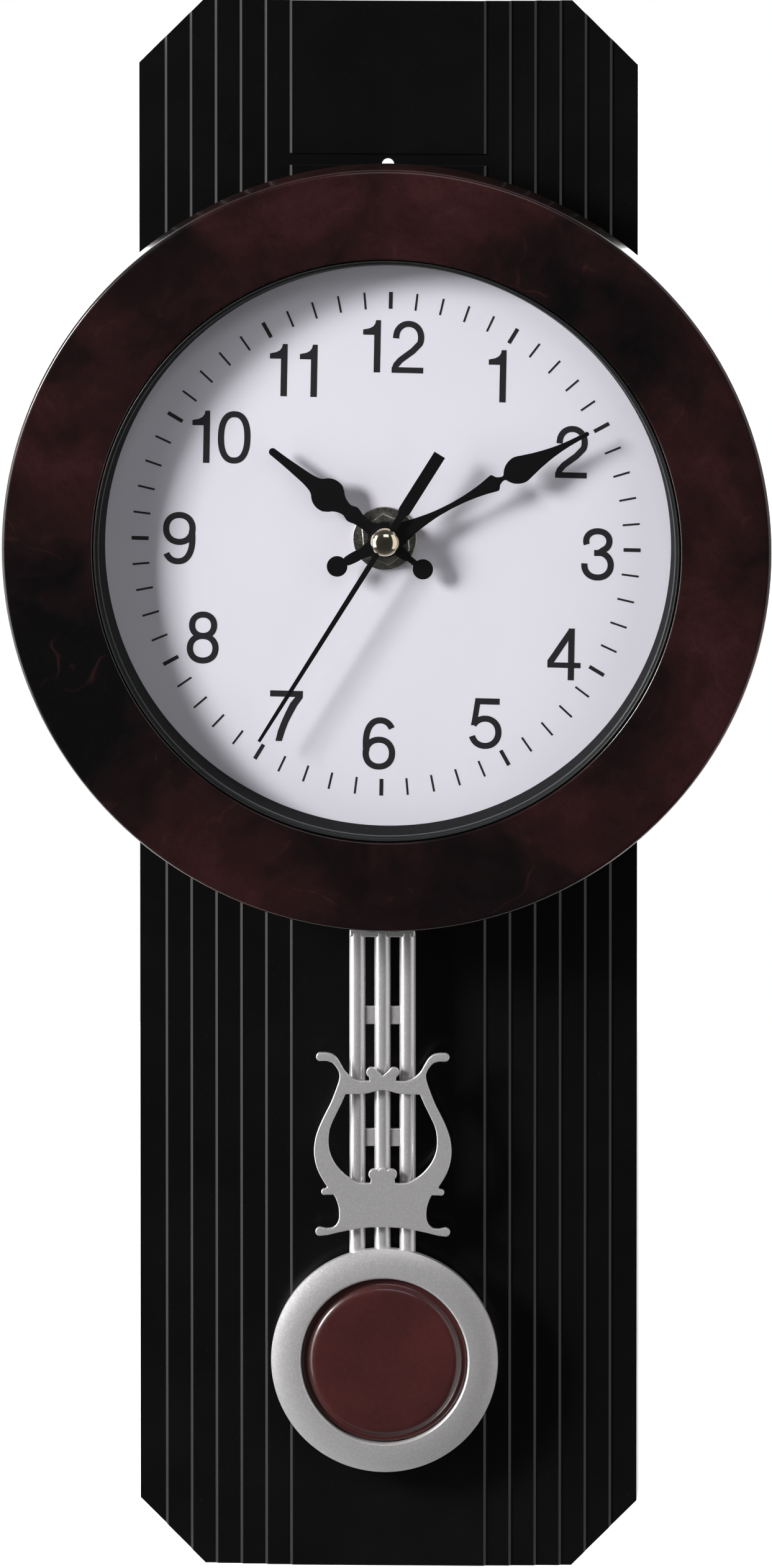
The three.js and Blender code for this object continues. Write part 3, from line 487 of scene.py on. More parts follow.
def spline(knots, steps=6):
    """A smooth curve (Catmull-Rom) through knots."""
    points = []
    padded = [knots[0], *knots, knots[-1]]
    for a, b, c, d in zip(padded, padded[1:], padded[2:], padded[3:]):
        for k in range(steps):
            t = k / steps
            points.append(
                tuple(
                    0.5
                    * (
                        2 * b[i]
                        + (c[i] - a[i]) * t
                        + (2 * a[i] - 5 * b[i] + 4 * c[i] - d[i]) * t * t
                        + (3 * b[i] - a[i] - 3 * c[i] + d[i]) * t ** 3
                    )
                    for i in (0, 1)
                )
            )
    return [*points, tuple(knots[-1])]


def mirrored(half):
    """A closed outline from its right half, which runs between two points on the axis."""
    inner = [(-x, z) for x, z in half if x > 1e-6]
    return [*half, *reversed(inner)]


# ---------------------------------------------------------------- case

put(refined("case_shell", MATERIAL["case_black"], 0.22, 3), "case", "case_black", "case_shell")

# ---------------------------------------------------------------- bezel, dial and lens

dial_centre = centre("bezel_ring")
ring_outer = half_width("bezel_ring")
ring_back, ring_front = depth("bezel_ring")
rim_back, rim_front = depth("dial_rim")
rim_outer = half_width("dial_rim")
pan_back, pan_front = depth("dial_pan")
dial_back, dial_front = depth("dial_plate")
lens_back, lens_front = depth("lens")
lens_radius = half_width("lens")
RING_WALL = 2.1
RING_INNER = 73.55

ring = turned(
    "bezel_ring_burl",
    [
        (ring_outer - RING_WALL, ring_back, 0.2),
        (ring_outer, ring_back, 0.3),
        (ring_outer, ring_front, 1.3),
        (RING_INNER, ring_front, 0.7),
        (RING_INNER, ring_front - RING_WALL, 0.1),
        (ring_outer - RING_WALL, ring_front - RING_WALL, 0.8),
    ],
    dial_centre,
    MATERIAL["burl_plastic"],
    steps=6,
)
put(ring, "case", "burl_plastic", "bezel_ring")

# The rim: a matt wall that slopes up from the dial, and a smoother lip next to the ring, whose lighter grey
# is painted sheen on black plastic.
WALL_FOOT = 70.8
LIP_OUTER = 73.3
LIP_INNER = 72.0
lip_back = lens_back - 1.0
wall_shoulder = ring_front - RING_WALL - 0.3
wall = turned(
    "dial_rim_wall",
    [
        (WALL_FOOT, rim_back, 0.1),
        (rim_outer, rim_back, 0.1),
        (rim_outer, wall_shoulder, 0.1),
        (LIP_OUTER, wall_shoulder, 0.1),
        (LIP_OUTER, lip_back),
        (LIP_INNER, lip_back),
    ],
    dial_centre,
    MATT_WALL,
    steps=5,
)
lip = turned(
    "dial_rim_lip",
    [
        (LIP_INNER, lip_back, 0.1),
        (LIP_OUTER, lip_back),
        (LIP_OUTER, rim_front, 0.3),
        (72.95, rim_front, 0.1),
        (72.95, lens_back - 0.1, 0.1),
        (72.2, lens_back - 0.1, 0.2),
    ],
    dial_centre,
    MATERIAL["rim_black"],
    steps=5,
)
put(wall, "case", "rim_black", "dial_rim")
put(lip, "case", "rim_black")

# The dial is a card with the movement's hole, printed with marks and numerals.
shaft = centre("mounting_washer")
shaft_from_dial = (shaft[0] - dial_centre[0], shaft[1] - dial_centre[1])
dial_radius = half_width("dial_plate")
neck_hole = ring_points(*shaft_from_dial, 4.3, 4.3, 0, 360, 47)
dial = plate(
    "dial_card",
    [ring_points(0, 0, dial_radius, dial_radius, 0, 359, 239), neck_hole],
    dial_back,
    dial_front,
    0.1,
    MATERIAL["dial_white"],
    *dial_centre,
)
put(dial, "case", "dial_white", "dial_plate")

pan = plate(
    "dial_pan_black",
    [
        ring_points(0, 0, half_width("dial_pan"), half_width("dial_pan"), 0, 359, 239),
        neck_hole,
    ],
    pan_back,
    pan_front,
    0.25,
    MATERIAL["pan_black"],
    *dial_centre,
)
put(pan, "case", "pan_black", "dial_pan")


def dome(radius, back, rise, rings=24):
    """Profile of a shallow dome from its rim to the axis."""
    sphere = (radius * radius + rise * rise) / (2 * rise)
    points = []
    for k in range(rings + 1):
        r = radius * (1 - k / rings)
        points.append((max(r, 0.0), back + math.sqrt(sphere * sphere - r * r) - (sphere - rise)))
    return points


LENS_THICKNESS = 1.2
lens_rise = lens_front - lens_back - LENS_THICKNESS
outside = [(r, out + LENS_THICKNESS) for r, out in dome(lens_radius, lens_back, lens_rise)]
inside = dome(lens_radius - LENS_THICKNESS, lens_back, lens_rise)
lens = turned(
    "lens_clear",
    [*reversed(inside), (lens_radius, lens_back, 0.1), *outside],
    dial_centre,
    MATERIAL["clear_lens"],
)
lens.visible_shadow = False
put(lens, "case", "clear_lens", "lens")

# ---------------------------------------------------------------- print on the dial

PRINT_TURN = 1.1  # degrees clockwise, as the card sits in the clock
PRINT_CENTRE = (0.0, dial_centre[1] + 0.4)
PRINT_HEIGHT = 0.04
STROKE = 1.55
MARK = {"radius": 61.56, "length": 4.25, "hour": 0.95, "minute": 0.5}
CAP_HEIGHT = 13.2


def stroke(points, width=STROKE, closed=False):
    """Quads along a line of the given width."""
    count = len(points)
    sides = []
    for i, point in enumerate(points):
        at = Vector(point)
        before = Vector(points[i - 1]) if closed or i > 0 else at
        after = Vector(points[(i + 1) % count]) if closed or i < count - 1 else at
        along = (after - before).normalized()
        across = Vector((-along.y, along.x)) * width / 2
        sides.append((at + across, at - across))
    pairs = list(zip(sides, sides[1:]))
    if closed:
        pairs.append((sides[-1], sides[0]))
    return [[a[0], a[1], b[1], b[0]] for a, b in pairs]


def bar(left, right, bottom, top):
    return [[(left, bottom), (right, bottom), (right, top), (left, top)]]


def oval(x, z, rx, rz, power=2.15):
    return stroke(ring_points(x, z, rx, rz, 0, 355, 71, power), closed=True)


def curl(x, z, rx, rz, start, end, *before_after, power=2.1):
    """A stroke along part of an oval, with points to pass before and after it."""
    before, after = before_after or ((), ())
    return stroke([*before, *ring_points(x, z, rx, rz, start, end, 40, power), *after])


def digit(figure):
    """Faces of a sans-serif figure, drawn from its lower left corner, and its width."""
    if figure == "0":
        return oval(4.1, 6.6, 3.3, 5.85, 2.35), 8.2
    if figure == "1":
        flag = [(4.4, 0), (4.4, 13.2), (3.2, 13.2), (3.0, 12.3), (2.5, 11.6), (1.6, 11.1)]
        return [[*flag, (0, 10.75), (0, 9.45), (2.8, 9.45), (2.8, 0)]], 4.4
    if figure == "2":
        leg = [(6.5, 6.9), (5.3, 5.6), (3.6, 4.3), (2.2, 3.2), (1.2, 2.0), (0.85, 0.8)]
        hook = [(1.05, 8.7)]
        return [*curl(4.2, 9.0, 3.12, 3.42, 178, -25, hook, leg), *bar(0.1, 8.0, 0, 1.45)], 8.1
    if figure == "3":
        upper = curl(4.05, 9.95, 2.9, 2.5, 200, -62, (), [(4.6, 7.1)])
        lower = curl(4.1, 3.9, 3.3, 3.15, 78, -186, [(3.2, 6.95), (4.4, 6.98)], ())
        return [*upper, *lower], 8.2
    if figure == "4":
        slope = [[(0, 4.4), (0, 4.9), (5.35, 13.1), (6.0, 13.1), (5.9, 11.2), (1.6, 4.4)]]
        return [*slope, *bar(5.15, 6.7, 0, 13.1), *bar(0, 8.3, 3.1, 4.45)], 8.3
    if figure == "5":
        side = [[(1.55, 12.9), (0.55, 5.95), (1.95, 6.15), (2.95, 12.9)]]
        bowl = curl(4.08, 4.3, 3.35, 3.45, 150, -164)
        return [*side, *bowl, *bar(1.5, 7.6, 11.35, 12.9)], 8.2
    if figure in ("6", "9"):
        faces = [*oval(4.1, 4.15, 3.3, 3.4), *curl(4.35, 6.75, 3.55, 5.7, 38, 200, power=2.3)]
        if figure == "9":
            faces = [[(8.2 - p[0], CAP_HEIGHT - p[1]) for p in face] for face in faces]
        return faces, 8.2
    if figure == "7":
        right = [(8.2, 12.8), (8.2, 11.1), (6.9, 9.2), (5.7, 6.9), (4.7, 4.8), (3.9, 2.6), (3.15, 0)]
        left = [(1.55, 0), (2.1, 2.5), (2.95, 4.9), (4.0, 7.4), (5.1, 9.7), (6.3, 11.25)]
        return [[*right, *left, (0, 11.25), (0, 12.8)]], 8.2
    return [*oval(4.05, 9.72, 2.75, 2.7), *oval(4.05, 3.9, 3.2, 3.1)], 8.1


def numeral(text, x, z):
    """Faces of a numeral centred on (x, z)."""
    faces, left, pen = [], 0.0, 0.0
    gap = {"11": 3.1, "12": 2.8, "10": 2.0}.get(text, 0.0)
    for figure in text:
        drawn, width = digit(figure)
        faces += [[(p[0] + pen, p[1]) for p in face] for face in drawn]
        pen += width + gap
    shift = (pen - gap) / 2
    return [[(px - shift + x, pz - CAP_HEIGHT / 2 + z) for px, pz in face] for face in faces]


def printed(name, faces, height):
    """Overlapping faces joined into one flat shape, raised a little above the dial."""
    points, loops = [], []
    for face in faces:
        loops.append(list(range(len(points), len(points) + len(face))))
        points += [Vector(p) for p in wound(face, False)]
    corners, _, triangles, _, _, inside = geometry.delaunay_2d_cdt(points, [], loops, 0, 1e-4)
    bm = bmesh.new()
    verts = [bm.verts.new((p[0] * MM, p[1] * MM, 0.0)) for p in corners]
    for triangle, faces_over in zip(triangles, inside):
        if faces_over:
            bm.faces.new([verts[i] for i in triangle])
    bmesh.ops.delete(bm, geom=[v for v in bm.verts if not v.link_faces], context="VERTS")
    bmesh.ops.dissolve_limit(bm, angle_limit=0.001, verts=bm.verts, edges=bm.edges)
    bmesh.ops.triangulate(bm, faces=[f for f in bm.faces if len(f.verts) > 4])
    top = bmesh.ops.extrude_face_region(bm, geom=list(bm.faces))["geom"]
    lift = Vector((0, 0, height * MM))
    bmesh.ops.translate(bm, verts=[v for v in top if isinstance(v, bmesh.types.BMVert)], vec=lift)
    bm.transform(place_flat(*PRINT_CENTRE, dial_front, PRINT_TURN))
    return put(finish_mesh(name, bm, INK), "case", "dial_white")


def marks():
    faces = []
    for minute in range(60):
        angle = math.radians(6 * minute)
        width = MARK["minute"] if minute % 5 else MARK["hour"]
        ends = [MARK["radius"] + side * MARK["length"] / 2 for side in (-1, 1)]
        faces += stroke([(r * math.sin(angle), r * math.cos(angle)) for r in ends], width)
    return faces


NUMERALS = {
    "12": (0.9, 49.9), "1": (27.0, 43.1), "2": (45.9, 24.4), "3": (53.0, -1.3),
    "4": (45.1, -26.7), "5": (25.7, -44.7), "6": (-0.8, -50.5), "7": (-24.2, -43.9),
    "8": (-45.4, -24.8), "9": (-51.8, 0.2), "10": (-41.7, 26.0), "11": (-24.0, 43.3),
}

printed("minute_marks_print", marks(), PRINT_HEIGHT)
numeral_faces = [face for text, at in NUMERALS.items() for face in numeral(text, *at)]
printed("numerals_print", numeral_faces, PRINT_HEIGHT)

# ---------------------------------------------------------------- hands

shaft_x, shaft_z = shaft


def hand_outline(half):
    """A closed outline from points of [distance along the hand, half width]."""
    right = [(width, along) for along, width in half]
    return [*right, *[(-x, z) for x, z in reversed(right)]]


def round_end(along, radius, start, end, steps=14):
    """Half widths along a circle centred on the hand's line, angles from the hand's tip."""
    points = []
    for k in range(steps + 1):
        angle = math.radians(start + (end - start) * k / steps)
        points.append((along + radius * math.cos(angle), radius * math.sin(angle)))
    return points


def hub_arc(radius, tail_width, neck_width, steps=16):
    """The round hub between the tail and the neck."""
    start = 180 - math.degrees(math.asin(tail_width / radius))
    end = math.degrees(math.asin(neck_width / radius))
    return round_end(0, radius, start, end, steps)


def knots(*points):
    return spline(list(points), 5)


hour_half = [
    *round_end(-11.9, 2.55, 180, 18),
    (-9, 0.75), (-7.5, 0.78), (-7, 1.2), (-5, 1.35),
    *hub_arc(4.4, 1.4, 1.55),
    *knots((5, 1.52), (6.5, 1.45), (8.5, 1.62), (9.6, 1.95), (10.5, 2.12), (11.3, 1.9), (12, 1.62)),
    *knots((12.6, 1.62), (13.5, 1.85), (14.4, 2.25), (15.1, 2.75), (15.7, 3.35), (16.3, 3.72)),
    *round_end(18.2, 4.3, 112, 48, 10),
    *knots((21.5, 2.75), (22, 2.35), (23, 1.92), (25, 1.55), (28, 1.32), (32, 1.07), (35.8, 0.95)),
    *round_end(35.85, 0.95, 80, 0, 8),
]
minute_half = [
    *round_end(-13.7, 2.6, 180, 22),
    *knots((-11, 1.15), (-10, 1.28), (-8.5, 1.35), (-7, 1.32), (-5, 1.7), (-3.4, 2.2)),
    *hub_arc(3.9, 2.4, 3.05),
    *knots((3.2, 3.05), (4.2, 3.1), (5, 2.6), (6, 2.32), (8, 1.82), (10, 1.42), (14, 0.87), (18, 0.68)),
    *knots((19, 0.68), (22, 0.8), (24, 0.97), (26, 1.22), (28, 1.55), (30, 2.0), (31.1, 2.22)),
    *knots((31.5, 1.95), (32, 1.22), (32.6, 0.82), (33.4, 0.55), (34, 0.75), (34.4, 1.4), (35, 2.12)),
    *knots((35.5, 2.55), (36.3, 3.0), (37.2, 3.32), (38.1, 3.45), (39, 3.35), (40, 3.05), (42, 2.47)),
    *knots((43, 2.18), (46, 1.5), (49, 1.0), (52, 0.7), (55, 0.57), (57, 0.55)),
    *round_end(57.3, 0.57, 85, 0, 8),
]
second_half = [
    (-25.9, 0.0), (-25.9, 1.55), (-9.2, 1.55), (-8.6, 1.4), (-8.1, 1.05), (-7.3, 0.92),
    *hub_arc(3.4, 0.95, 0.72),
    (10, 0.68), (50, 0.5), (59.8, 0.4), (59.8, 0.0),
]
HANDS = (
    ("hour_hand", "hour_train", hour_half, 308.1, 2.65, 0.12),
    ("minute_hand", "minute_train", minute_half, 61.6, 1.65, 0.12),
    ("second_hand", "second_train", second_half, 211.9, 0.6, 0.08),
)
for node, body, half, turn, hole, edge in HANDS:
    back, front = depth(node)
    loops = [hand_outline(half), ring_points(0, 0, hole, hole, 0, 350, 35)]
    hand = plate(
        node + "_blade", loops, back, front, edge, MATERIAL["hand_black"], shaft_x, shaft_z, turn
    )
    put(hand, body, "hand_black", node)

cap_back, cap_front = depth("second_hand_cap")
cap_radius = half_width("second_hand_cap")
CAP_RISE = 2.2  # the dome is lower than half a ball
cap_equator = cap_front - CAP_RISE
cap = turned(
    "second_hand_cap_dome",
    [
        (0, cap_back + 0.6),
        (cap_radius - 0.6, cap_back + 0.6),
        (cap_radius - 0.5, cap_back, 0.1),
        (cap_radius, cap_back, 0.3),
        *ring_points(0, cap_equator, cap_radius, CAP_RISE, 0, 88, 44),
        (0, cap_front),
    ],
    shaft,
    MATERIAL["brass"],
    SMALL_ROUND,
)
put(cap, "second_train", "brass", "second_hand_cap")

# ---------------------------------------------------------------- nut and washer

WASHER_LEFT = 0.3  # the washer lies loose on the neck, a little to the left
washer_back, washer_front = depth("mounting_washer")
washer = turned(
    "mounting_washer_plate",
    [
        (4.3, washer_back, 0.1),
        (half_width("mounting_washer"), washer_back, 0.15),
        (half_width("mounting_washer"), washer_front, 0.25),
        (4.3, washer_front, 0.15),
    ],
    (shaft[0] - WASHER_LEFT, shaft[1]),
    MATERIAL["nickel"],
    96,
)
put(washer, "case", "nickel", "mounting_washer")

nut_back, nut_front = depth("mounting_nut")
NUT_ACROSS_FLATS = 11.45
NUT_TURN = 35.7  # degrees from +X to the first corner
nut_corner = NUT_ACROSS_FLATS / 2 / math.cos(math.pi / 6)
hexagon = ring_points(0, 0, nut_corner, nut_corner, NUT_TURN, NUT_TURN + 300, 5)
nut = plate(
    "mounting_nut_hex", [hexagon, ring_points(0, 0, 4.25, 4.25, 0, 354, 59)], nut_back, nut_front,
    0.3, MATERIAL["nickel"], shaft_x, shaft_z,
)
put(nut, "case", "nickel", "mounting_nut")

# ---------------------------------------------------------------- pendulum

pivot_z = centre("pendulum_pivot_pin")[1]
rods_back, rods_front = depth("pendulum_rods")
ROD_WIDTH = 4.05
ROD_PITCH = 6.3
head_low, head_high = pivot_z - 62.8, pivot_z - 50.0
bob = centre("bob_ring")
RODS_LEFT = 0.6  # the rods hang a little to the left of the bob
hung_x = bob[0] - RODS_LEFT
bob_outer = half_width("bob_ring")
bob_back, bob_front = depth("bob_ring")


def rod_bar(name, x, bottom, top):
    """A bar with a flat back and a round front, closed at both ends."""
    half = ROD_WIDTH / 2
    side = 1.0
    crown = rods_front - rods_back - side
    section = [(-half, rods_back), (-half, rods_back + side * 0.6)]
    section += ring_points(0, rods_back + side, half, crown, 180, 0, 32, 2.2)
    section += [(half, rods_back + side * 0.6), (half, rods_back)]
    bm = bmesh.new()
    rings = [
        [bm.verts.new(Vector((x + px, -out, z)) * MM) for px, out in section] for z in (bottom, top)
    ]
    count = len(section)
    for k in range(count):
        bm.faces.new([rings[0][k], rings[0][(k + 1) % count], rings[1][(k + 1) % count], rings[1][k]])
    for ring in rings:
        bm.faces.new(ring)
    return even_normals(finish_mesh(name, bm, MATERIAL["silver_paint"], 50.0))


def box_bar(name, left, right, back, front, bottom, top, edge, material):
    """A straight bar with rounded edges."""
    bm = bmesh.new()
    bmesh.ops.create_cube(bm, size=1.0)
    size = Vector((right - left, front - back, top - bottom)) * MM
    middle = Vector((left + right, -(back + front), bottom + top)) * MM / 2
    bm.transform(Matrix.Translation(middle) @ Matrix.Diagonal((*size, 1.0)))
    bmesh.ops.bevel(
        bm, geom=list(bm.edges), offset=edge * MM, segments=3, profile=0.5, affect="EDGES"
    )
    return even_normals(finish_mesh(name, bm, material, 50.0))


rod_parts = []
for i, side in enumerate((-1, 0, 1)):
    rod_x = hung_x + side * ROD_PITCH
    rod_parts.append(rod_bar(f"pendulum_rod_{i + 1}", rod_x, bob[1] + 20, head_low + 1))
for i, (low, high) in enumerate(((-85.0, -80.4), (-116.0, -111.5))):
    cross = box_bar(
        f"pendulum_cross_bar_{i + 1}", hung_x - ROD_PITCH, hung_x + ROD_PITCH, 22.9, 24.4,
        pivot_z + low, pivot_z + high, 0.25, MATERIAL["silver_paint"],
    )
    rod_parts.append(cross)
head = box_bar(
    "pendulum_head", hung_x - 8.2, hung_x + 8.2, rods_back, rods_front - 0.2, head_low, head_high,
    0.5, MATERIAL["silver_paint"],
)
tongue_outline = [(-4, -51), (4, -51), *ring_points(0, -42, 4, 4, 0, 180, 24)]
tongue = plate(
    "pendulum_tongue", [tongue_outline, ring_points(-hung_x, -43, 1.5, 1.5, 0, 345, 23)], 24.3,
    rods_front - 0.2, 0.2, MATERIAL["silver_paint"], hung_x, pivot_z,
)
backing = turned(
    "bob_backing",
    [
        (0, rods_back),
        (bob_outer - 0.5, rods_back, 0.5),
        (bob_outer - 0.5, bob_back - 0.3, 0.2),
        (0, bob_back - 0.3),
    ],
    bob,
    MATERIAL["silver_paint"],
)
for obj in (*rod_parts, tongue, backing):
    put(obj, "pendulum", "silver_paint")
put(head, "pendulum", "silver_paint", "pendulum_rods")

BOB_FALL = 1.5  # how far the ring's face falls back towards its outer edge


def fall(r):
    return ((r - 21.35) / (bob_outer - 21.35)) ** 2


ring_of_bob = turned(
    "bob_ring_silver",
    [
        (20.95, bob_back, 0.1),
        (bob_outer, bob_back, 0.4),
        (bob_outer, bob_front - BOB_FALL - 0.5, 0.3),
        *[(r, bob_front - BOB_FALL * fall(r)) for r in (28.4, 27.4, 26.4, 25.4, 24.4, 23.4, 22.4)],
        (21.35, bob_front, 0.2),
        (20.95, bob_front - 0.5, 0.1),
    ],
    bob,
    MATERIAL["silver_paint"],
    steps=5,
)
put(ring_of_bob, "pendulum", "silver_paint", "bob_ring")

insert_back, insert_front = depth("bob_insert")
insert_radius = half_width("bob_insert")
insert = turned(
    "bob_insert_gloss",
    [
        (0, insert_back),
        (insert_radius, insert_back, 0.2),
        (insert_radius, insert_front - 1.3, 0.3),
        (insert_radius - 1.3, insert_front - 1.2, 0.6),
        (insert_radius - 2.1, insert_front - 0.35, 0.5),
        (insert_radius - 3.0, insert_front, 0.8),
        (0, insert_front),
    ],
    bob,
    MATERIAL["burgundy_gloss"],
    steps=5,
)
put(insert, "pendulum", "burgundy_gloss", "bob_insert")

lyre_half = [
    (0, -5.9),
    *ring_points(2.8, -5.02, 1.33, 1.33, 155, -62, 16),
    *spline([(3.3, -7.15), (4.6, -7.22), (5.8, -7.19), (7.2, -6.7), (8.4, -5.9), (9.6, -4.6), (10.5, -3.0),
             (11.5, -1.4), (12.8, -0.4), (14.4, -0.06)], 4),
    *ring_points(15.66, -1.13, 1.08, 1.08, 90, -90, 12),
    *spline([(14.2, -2.16), (12.8, -2.6), (11.8, -3.6), (11.1, -4.8), (10.85, -6.0), (11.05, -7.3),
             (11.7, -9.3), (13.1, -12.9), (14.7, -16.1), (16.0, -19.0), (16.9, -21.8), (17.25, -24.6),
             (17.1, -27.05), (16.5, -29.5), (15.5, -31.7), (13.95, -34.2)], 4),
    *ring_points(14.64, -35.45, 0.82, 0.82, 105, -115, 12),
    *spline([(12.96, -36.2), (12.3, -36.25), (11.6, -37.6), (11.07, -39.4), (10.94, -41.2),
             (11.06, -42.5), (11.6, -43.7), (12.7, -44.55), (14.2, -44.75)], 4),
    *ring_points(15.78, -45.54, 1.13, 1.13, 100, -110, 12),
    *spline([(13.9, -46.45), (11.3, -45.8), (8.5, -45.2), (5.7, -44.7), (2.95, -44.45), (0, -44.4)], 4),
]
opening_half = [
    *spline([(0, -9.5), (1.1, -9.6), (2.3, -9.9), (3.55, -10.3), (5.15, -10.5), (7.5, -10.55),
             (9.36, -10.6)], 3),
    *spline([(9.5, -10.9), (10.3, -12.8), (11.7, -15.7), (12.9, -18.3), (13.5, -20.6), (13.6, -23.4),
             (13.2, -25.6), (12.3, -27.7), (10.95, -29.6), (9.2, -31.3), (7.4, -32.5), (6.0, -33.1),
             (4.4, -33.2), (3.1, -33.15)], 4),
    *ring_points(2.12, -30.95, 1.45, 1.45, -55, 128, 14),
    (1.15, -29.9), (0.85, -29.6), (0.45, -29.42), (0, -29.38),
]
lyre_back, lyre_front = depth("lyre_plate")
lyre_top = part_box("lyre_plate")[1].z / MM
lyre = plate(
    "lyre_ornament", [mirrored(lyre_half), mirrored(opening_half)], lyre_back, lyre_front, 0.28,
    MATERIAL["silver_paint"], centre("lyre_plate")[0], lyre_top, rounds=3,
)
put(lyre, "pendulum", "silver_paint", "lyre_plate")

# ---------------------------------------------------------------- hidden pieces

SLOTS = {row["node"]: row["material_slot"] for row in frame["record"]["subparts"]}
# How far the hard edges of each hidden piece are rounded, in millimetres.
ROUNDED = {
    "movement_rear_housing": 0.5, "movement_front_cover": 0.4, "rubber_gasket": 0.3, "set_knob": 0.2,
    "pendulum_arm": 0.2, "pendulum_magnet": 0.3, "pendulum_coil": 0.3, "pendulum_pivot_pin": 0.15,
    "battery_contact_positive": 0.05, "train_plate": 0.2, "circuit_board": 0.1, "quartz_crystal": 0.2,
    "stepper_coil": 0.2, "stator_plate": 0.05, "rotor": 0.05, "intermediate_wheel": 0.05,
    "second_wheel": 0.05, "third_wheel": 0.05, "minute_wheel": 0.05, "motion_wheel": 0.05,
    "hour_wheel": 0.05,
    **{f"bezel_screw_{i}": 0.2 for i in (1, 2, 3, 4)},
    **{f"bezel_standoff_{i}": 0.3 for i in (1, 2, 3, 4)},
}
for node, edge in ROUNDED.items():
    obj = refined(node, MATERIAL[SLOTS[node]], edge)
    put(obj, frame["nodes"][node]["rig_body"], SLOTS[node], node)

# An AA cell: a blue and copper jacket around a bare metal can, whose ends show.
cell_low, cell_high = (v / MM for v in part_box("battery"))
cell_at = ((cell_low.z + cell_high.z) / 2, -(cell_low.y + cell_high.y) / 2)
cell_radius = (cell_high.z - cell_low.z) / 2
can_radius = cell_radius - 0.9
cell_left, nub_end = cell_low.x, cell_high.x
cell_right = nub_end - 1.3
colour_change = cell_right - 13
for name, left, right, material in (
    ("battery_jacket_long", cell_left, colour_change, "battery_jacket"),
    ("battery_jacket_short", colour_change, cell_right, "copper"),
):
    sleeve = turned(
        name,
        [
            (can_radius, left, 0.1),
            (cell_radius, left, 0.3),
            (cell_radius, right, 0.3),
            (can_radius, right, 0.1),
        ],
        cell_at,
        MATERIAL[material],
        SMALL_ROUND,
        "X",
    )
    put(sleeve, "case", "battery_jacket")
can = turned(
    "battery_can",
    [
        (0, cell_left + 0.2),
        (can_radius, cell_left + 0.2, 0.2),
        (can_radius, cell_right - 0.2, 0.3),
        (2.75, cell_right - 0.2, 0.2),
        (2.75, nub_end, 0.4),
        (0, nub_end),
    ],
    cell_at,
    MATERIAL["steel"],
    SMALL_ROUND,
    "X",
)
put(can, "case", "battery_jacket", "battery")


def wire(name, points, radius, material):
    """A round wire through points."""
    curve = bpy.data.curves.new(name + "_path", "CURVE")
    curve.dimensions = "3D"
    curve.bevel_depth = radius * MM
    curve.bevel_resolution = 3
    curve.use_fill_caps = True
    path = curve.splines.new("POLY")
    path.points.add(len(points) - 1)
    for point, co in zip(path.points, points):
        point.co = (*(v * MM for v in co), 1.0)
    holder = bpy.data.objects.new(name + "_path", curve)
    bpy.context.scene.collection.objects.link(holder)
    bpy.context.view_layer.update()
    mesh = bpy.data.meshes.new_from_object(
        holder.evaluated_get(bpy.context.evaluated_depsgraph_get())
    )
    bpy.data.objects.remove(holder)
    bpy.data.curves.remove(curve)
    bm = bmesh.new()
    bm.from_mesh(mesh)
    bpy.data.meshes.remove(mesh)
    return finish_mesh(name, bm, material, 60.0)


# The negative contact: a tab and a flattened conical spring.
tab_low, tab_high = (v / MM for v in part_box("battery_contact_negative"))
tab = box_bar(
    "contact_negative_tab", tab_low.x, tab_low.x + 0.4, -tab_high.y, -tab_low.y, tab_low.z, tab_high.z,
    0.08, MATERIAL["nickel"],
)
SPRING = {"wire": 0.2, "turns": 3, "wide": 3.6, "narrow": 2.2, "steps": 96}
spring_start, spring_end = tab_low.x + 0.4 + SPRING["wire"], tab_high.x - SPRING["wire"]
helix = []
for k in range(SPRING["steps"] + 1):
    t = k / SPRING["steps"]
    angle = 2 * math.pi * SPRING["turns"] * t
    r = SPRING["wide"] + (SPRING["narrow"] - SPRING["wide"]) * t
    x = spring_start + (spring_end - spring_start) * t
    helix.append((x, -cell_at[1] + r * math.cos(angle), cell_at[0] + r * math.sin(angle)))
spring = wire("contact_negative_spring", helix, SPRING["wire"], MATERIAL["nickel"])
put(tab, "case", "nickel", "battery_contact_negative")
put(spring, "case", "nickel")

# ---------------------------------------------------------------- camera, light and floor

CAMERA_TURN = math.radians(2.2)
CAMERA_RISE = math.radians(8.9)
CAMERA_DISTANCE = 9.17
CAMERA_LENS = 840
LOOK_AT = Vector((-0.0005, -0.0186, -0.1567))
scene = bpy.context.scene


def aimed(obj, at, target):
    obj.location = at
    obj.rotation_euler = (Vector(at) - Vector(target)).to_track_quat("Z", "Y").to_euler()
    scene.collection.objects.link(obj)
    return obj


camera_data = bpy.data.cameras.new("camera")
camera_data.lens = CAMERA_LENS
camera_data.sensor_width = 36
camera_data.clip_end = 60
towards = Vector(
    (
        math.sin(CAMERA_TURN) * math.cos(CAMERA_RISE),
        -math.cos(CAMERA_TURN) * math.cos(CAMERA_RISE),
        math.sin(CAMERA_RISE),
    )
)
camera = bpy.data.objects.new("camera", camera_data)
scene.camera = aimed(camera, LOOK_AT + towards * CAMERA_DISTANCE, LOOK_AT)


def area_light(name, direction, distance, size, power, color=(1, 1, 1), target=LOOK_AT):
    data = bpy.data.lights.new(name, "AREA")
    data.shape = "RECTANGLE"
    data.size, data.size_y = size
    data.energy = power
    data.color = color
    away = Vector(direction).normalized() * distance
    return aimed(bpy.data.objects.new(name, data), Vector(target) + away, target)


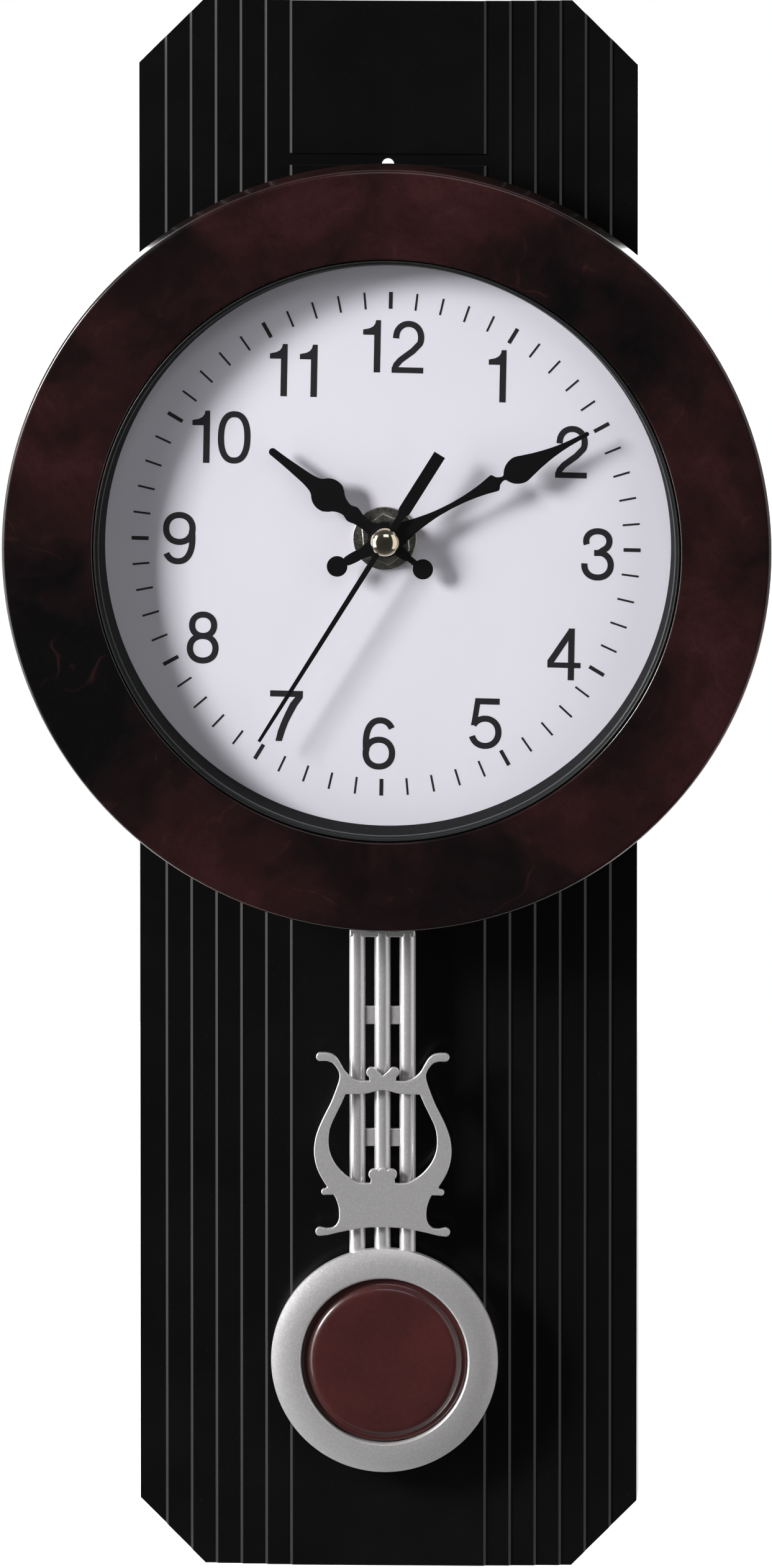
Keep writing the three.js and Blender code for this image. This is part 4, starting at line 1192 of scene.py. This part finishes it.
FLOOR_SPOT = Vector((0, 0.5, -0.4))
DIAL_MIDDLE = Vector((dial_centre[0], -dial_front, dial_centre[1])) * MM
area_light("key_light", (-0.83, -0.45, 0.33), 2.6, (0.5, 0.8), 91, (1.0, 0.99, 0.985), DIAL_MIDDLE)
area_light("left_strip", (-0.98, -0.2, -0.1), 1.2, (1.1, 0.9), 11)
area_light("right_light", (0.93, -0.36, 0.05), 1.2, (1.1, 2.0), 7.5, (1.0, 0.985, 0.96))
area_light("front_fill", (0.1, -0.8, 0.6), 2.2, (1.0, 0.6), 3.6, (0.96, 0.96, 1.0))
area_light("floor_light", (0, 0.55, 0.85), 1.8, (1.5, 1.0), 30, (1, 1, 1), FLOOR_SPOT)

FLOOR_DROP = 0.045
floor_mesh = bpy.data.meshes.new("floor")
floor_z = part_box("case_shell")[0].z - FLOOR_DROP
floor_mesh.from_pydata(
    [(-1, -0.06, floor_z), (1, -0.06, floor_z), (1, 1.1, floor_z), (-1, 1.1, floor_z)], [], [(0, 1, 2, 3)]
)
floor = bpy.data.objects.new("floor", floor_mesh)
floor_nodes = Nodes("floor_pale")
floor_nodes.set(base_color=floor_nodes.ramp(floor_nodes.noise(3), (0.3, (0.92,) * 3), (0.7, (0.95,) * 3)))
floor_nodes.set(roughness=0.8)
floor_mesh.materials.append(floor_nodes.material)
scene.collection.objects.link(floor)

# A pale room behind the clock and above the floor, and little light from the front.
world = bpy.data.worlds.new("studio")
world.use_nodes = True
tree = world.node_tree
background = tree.nodes["Background"]
coordinates = tree.nodes.new("ShaderNodeTexCoord")
parts = tree.nodes.new("ShaderNodeSeparateXYZ")
tree.links.new(coordinates.outputs["Generated"], parts.inputs[0])
glow = tree.nodes.new("ShaderNodeValToRGB")
ROOM = ((0.0, 0.03), (0.42, 0.035), (0.68, 0.7), (0.93, 0.9), (0.98, 3.0))
while len(glow.color_ramp.elements) < len(ROOM):
    glow.color_ramp.elements.new(0.5)
for element, (share, level) in zip(glow.color_ramp.elements, ROOM):
    element.position = share
    element.color = (level, level, level, 1.0)
front_to_back = tree.nodes.new("ShaderNodeMapRange")
front_to_back.inputs[1].default_value = -1.0
tree.links.new(parts.outputs[1], front_to_back.inputs[0])
tree.links.new(front_to_back.outputs[0], glow.inputs["Fac"])
tree.links.new(glow.outputs["Color"], background.inputs["Strength"])
background.inputs["Color"].default_value = (1, 1, 1, 1)
seen = tree.nodes.new("ShaderNodeBackground")
seen.inputs["Color"].default_value = (1, 1, 1, 1)
path = tree.nodes.new("ShaderNodeLightPath")
choose = tree.nodes.new("ShaderNodeMixShader")
tree.links.new(path.outputs["Is Camera Ray"], choose.inputs[0])
tree.links.new(background.outputs[0], choose.inputs[1])
tree.links.new(seen.outputs[0], choose.inputs[2])
tree.links.new(choose.outputs[0], tree.nodes["World Output"].inputs["Surface"])
scene.world = world
scene.view_settings.view_transform = "Standard"
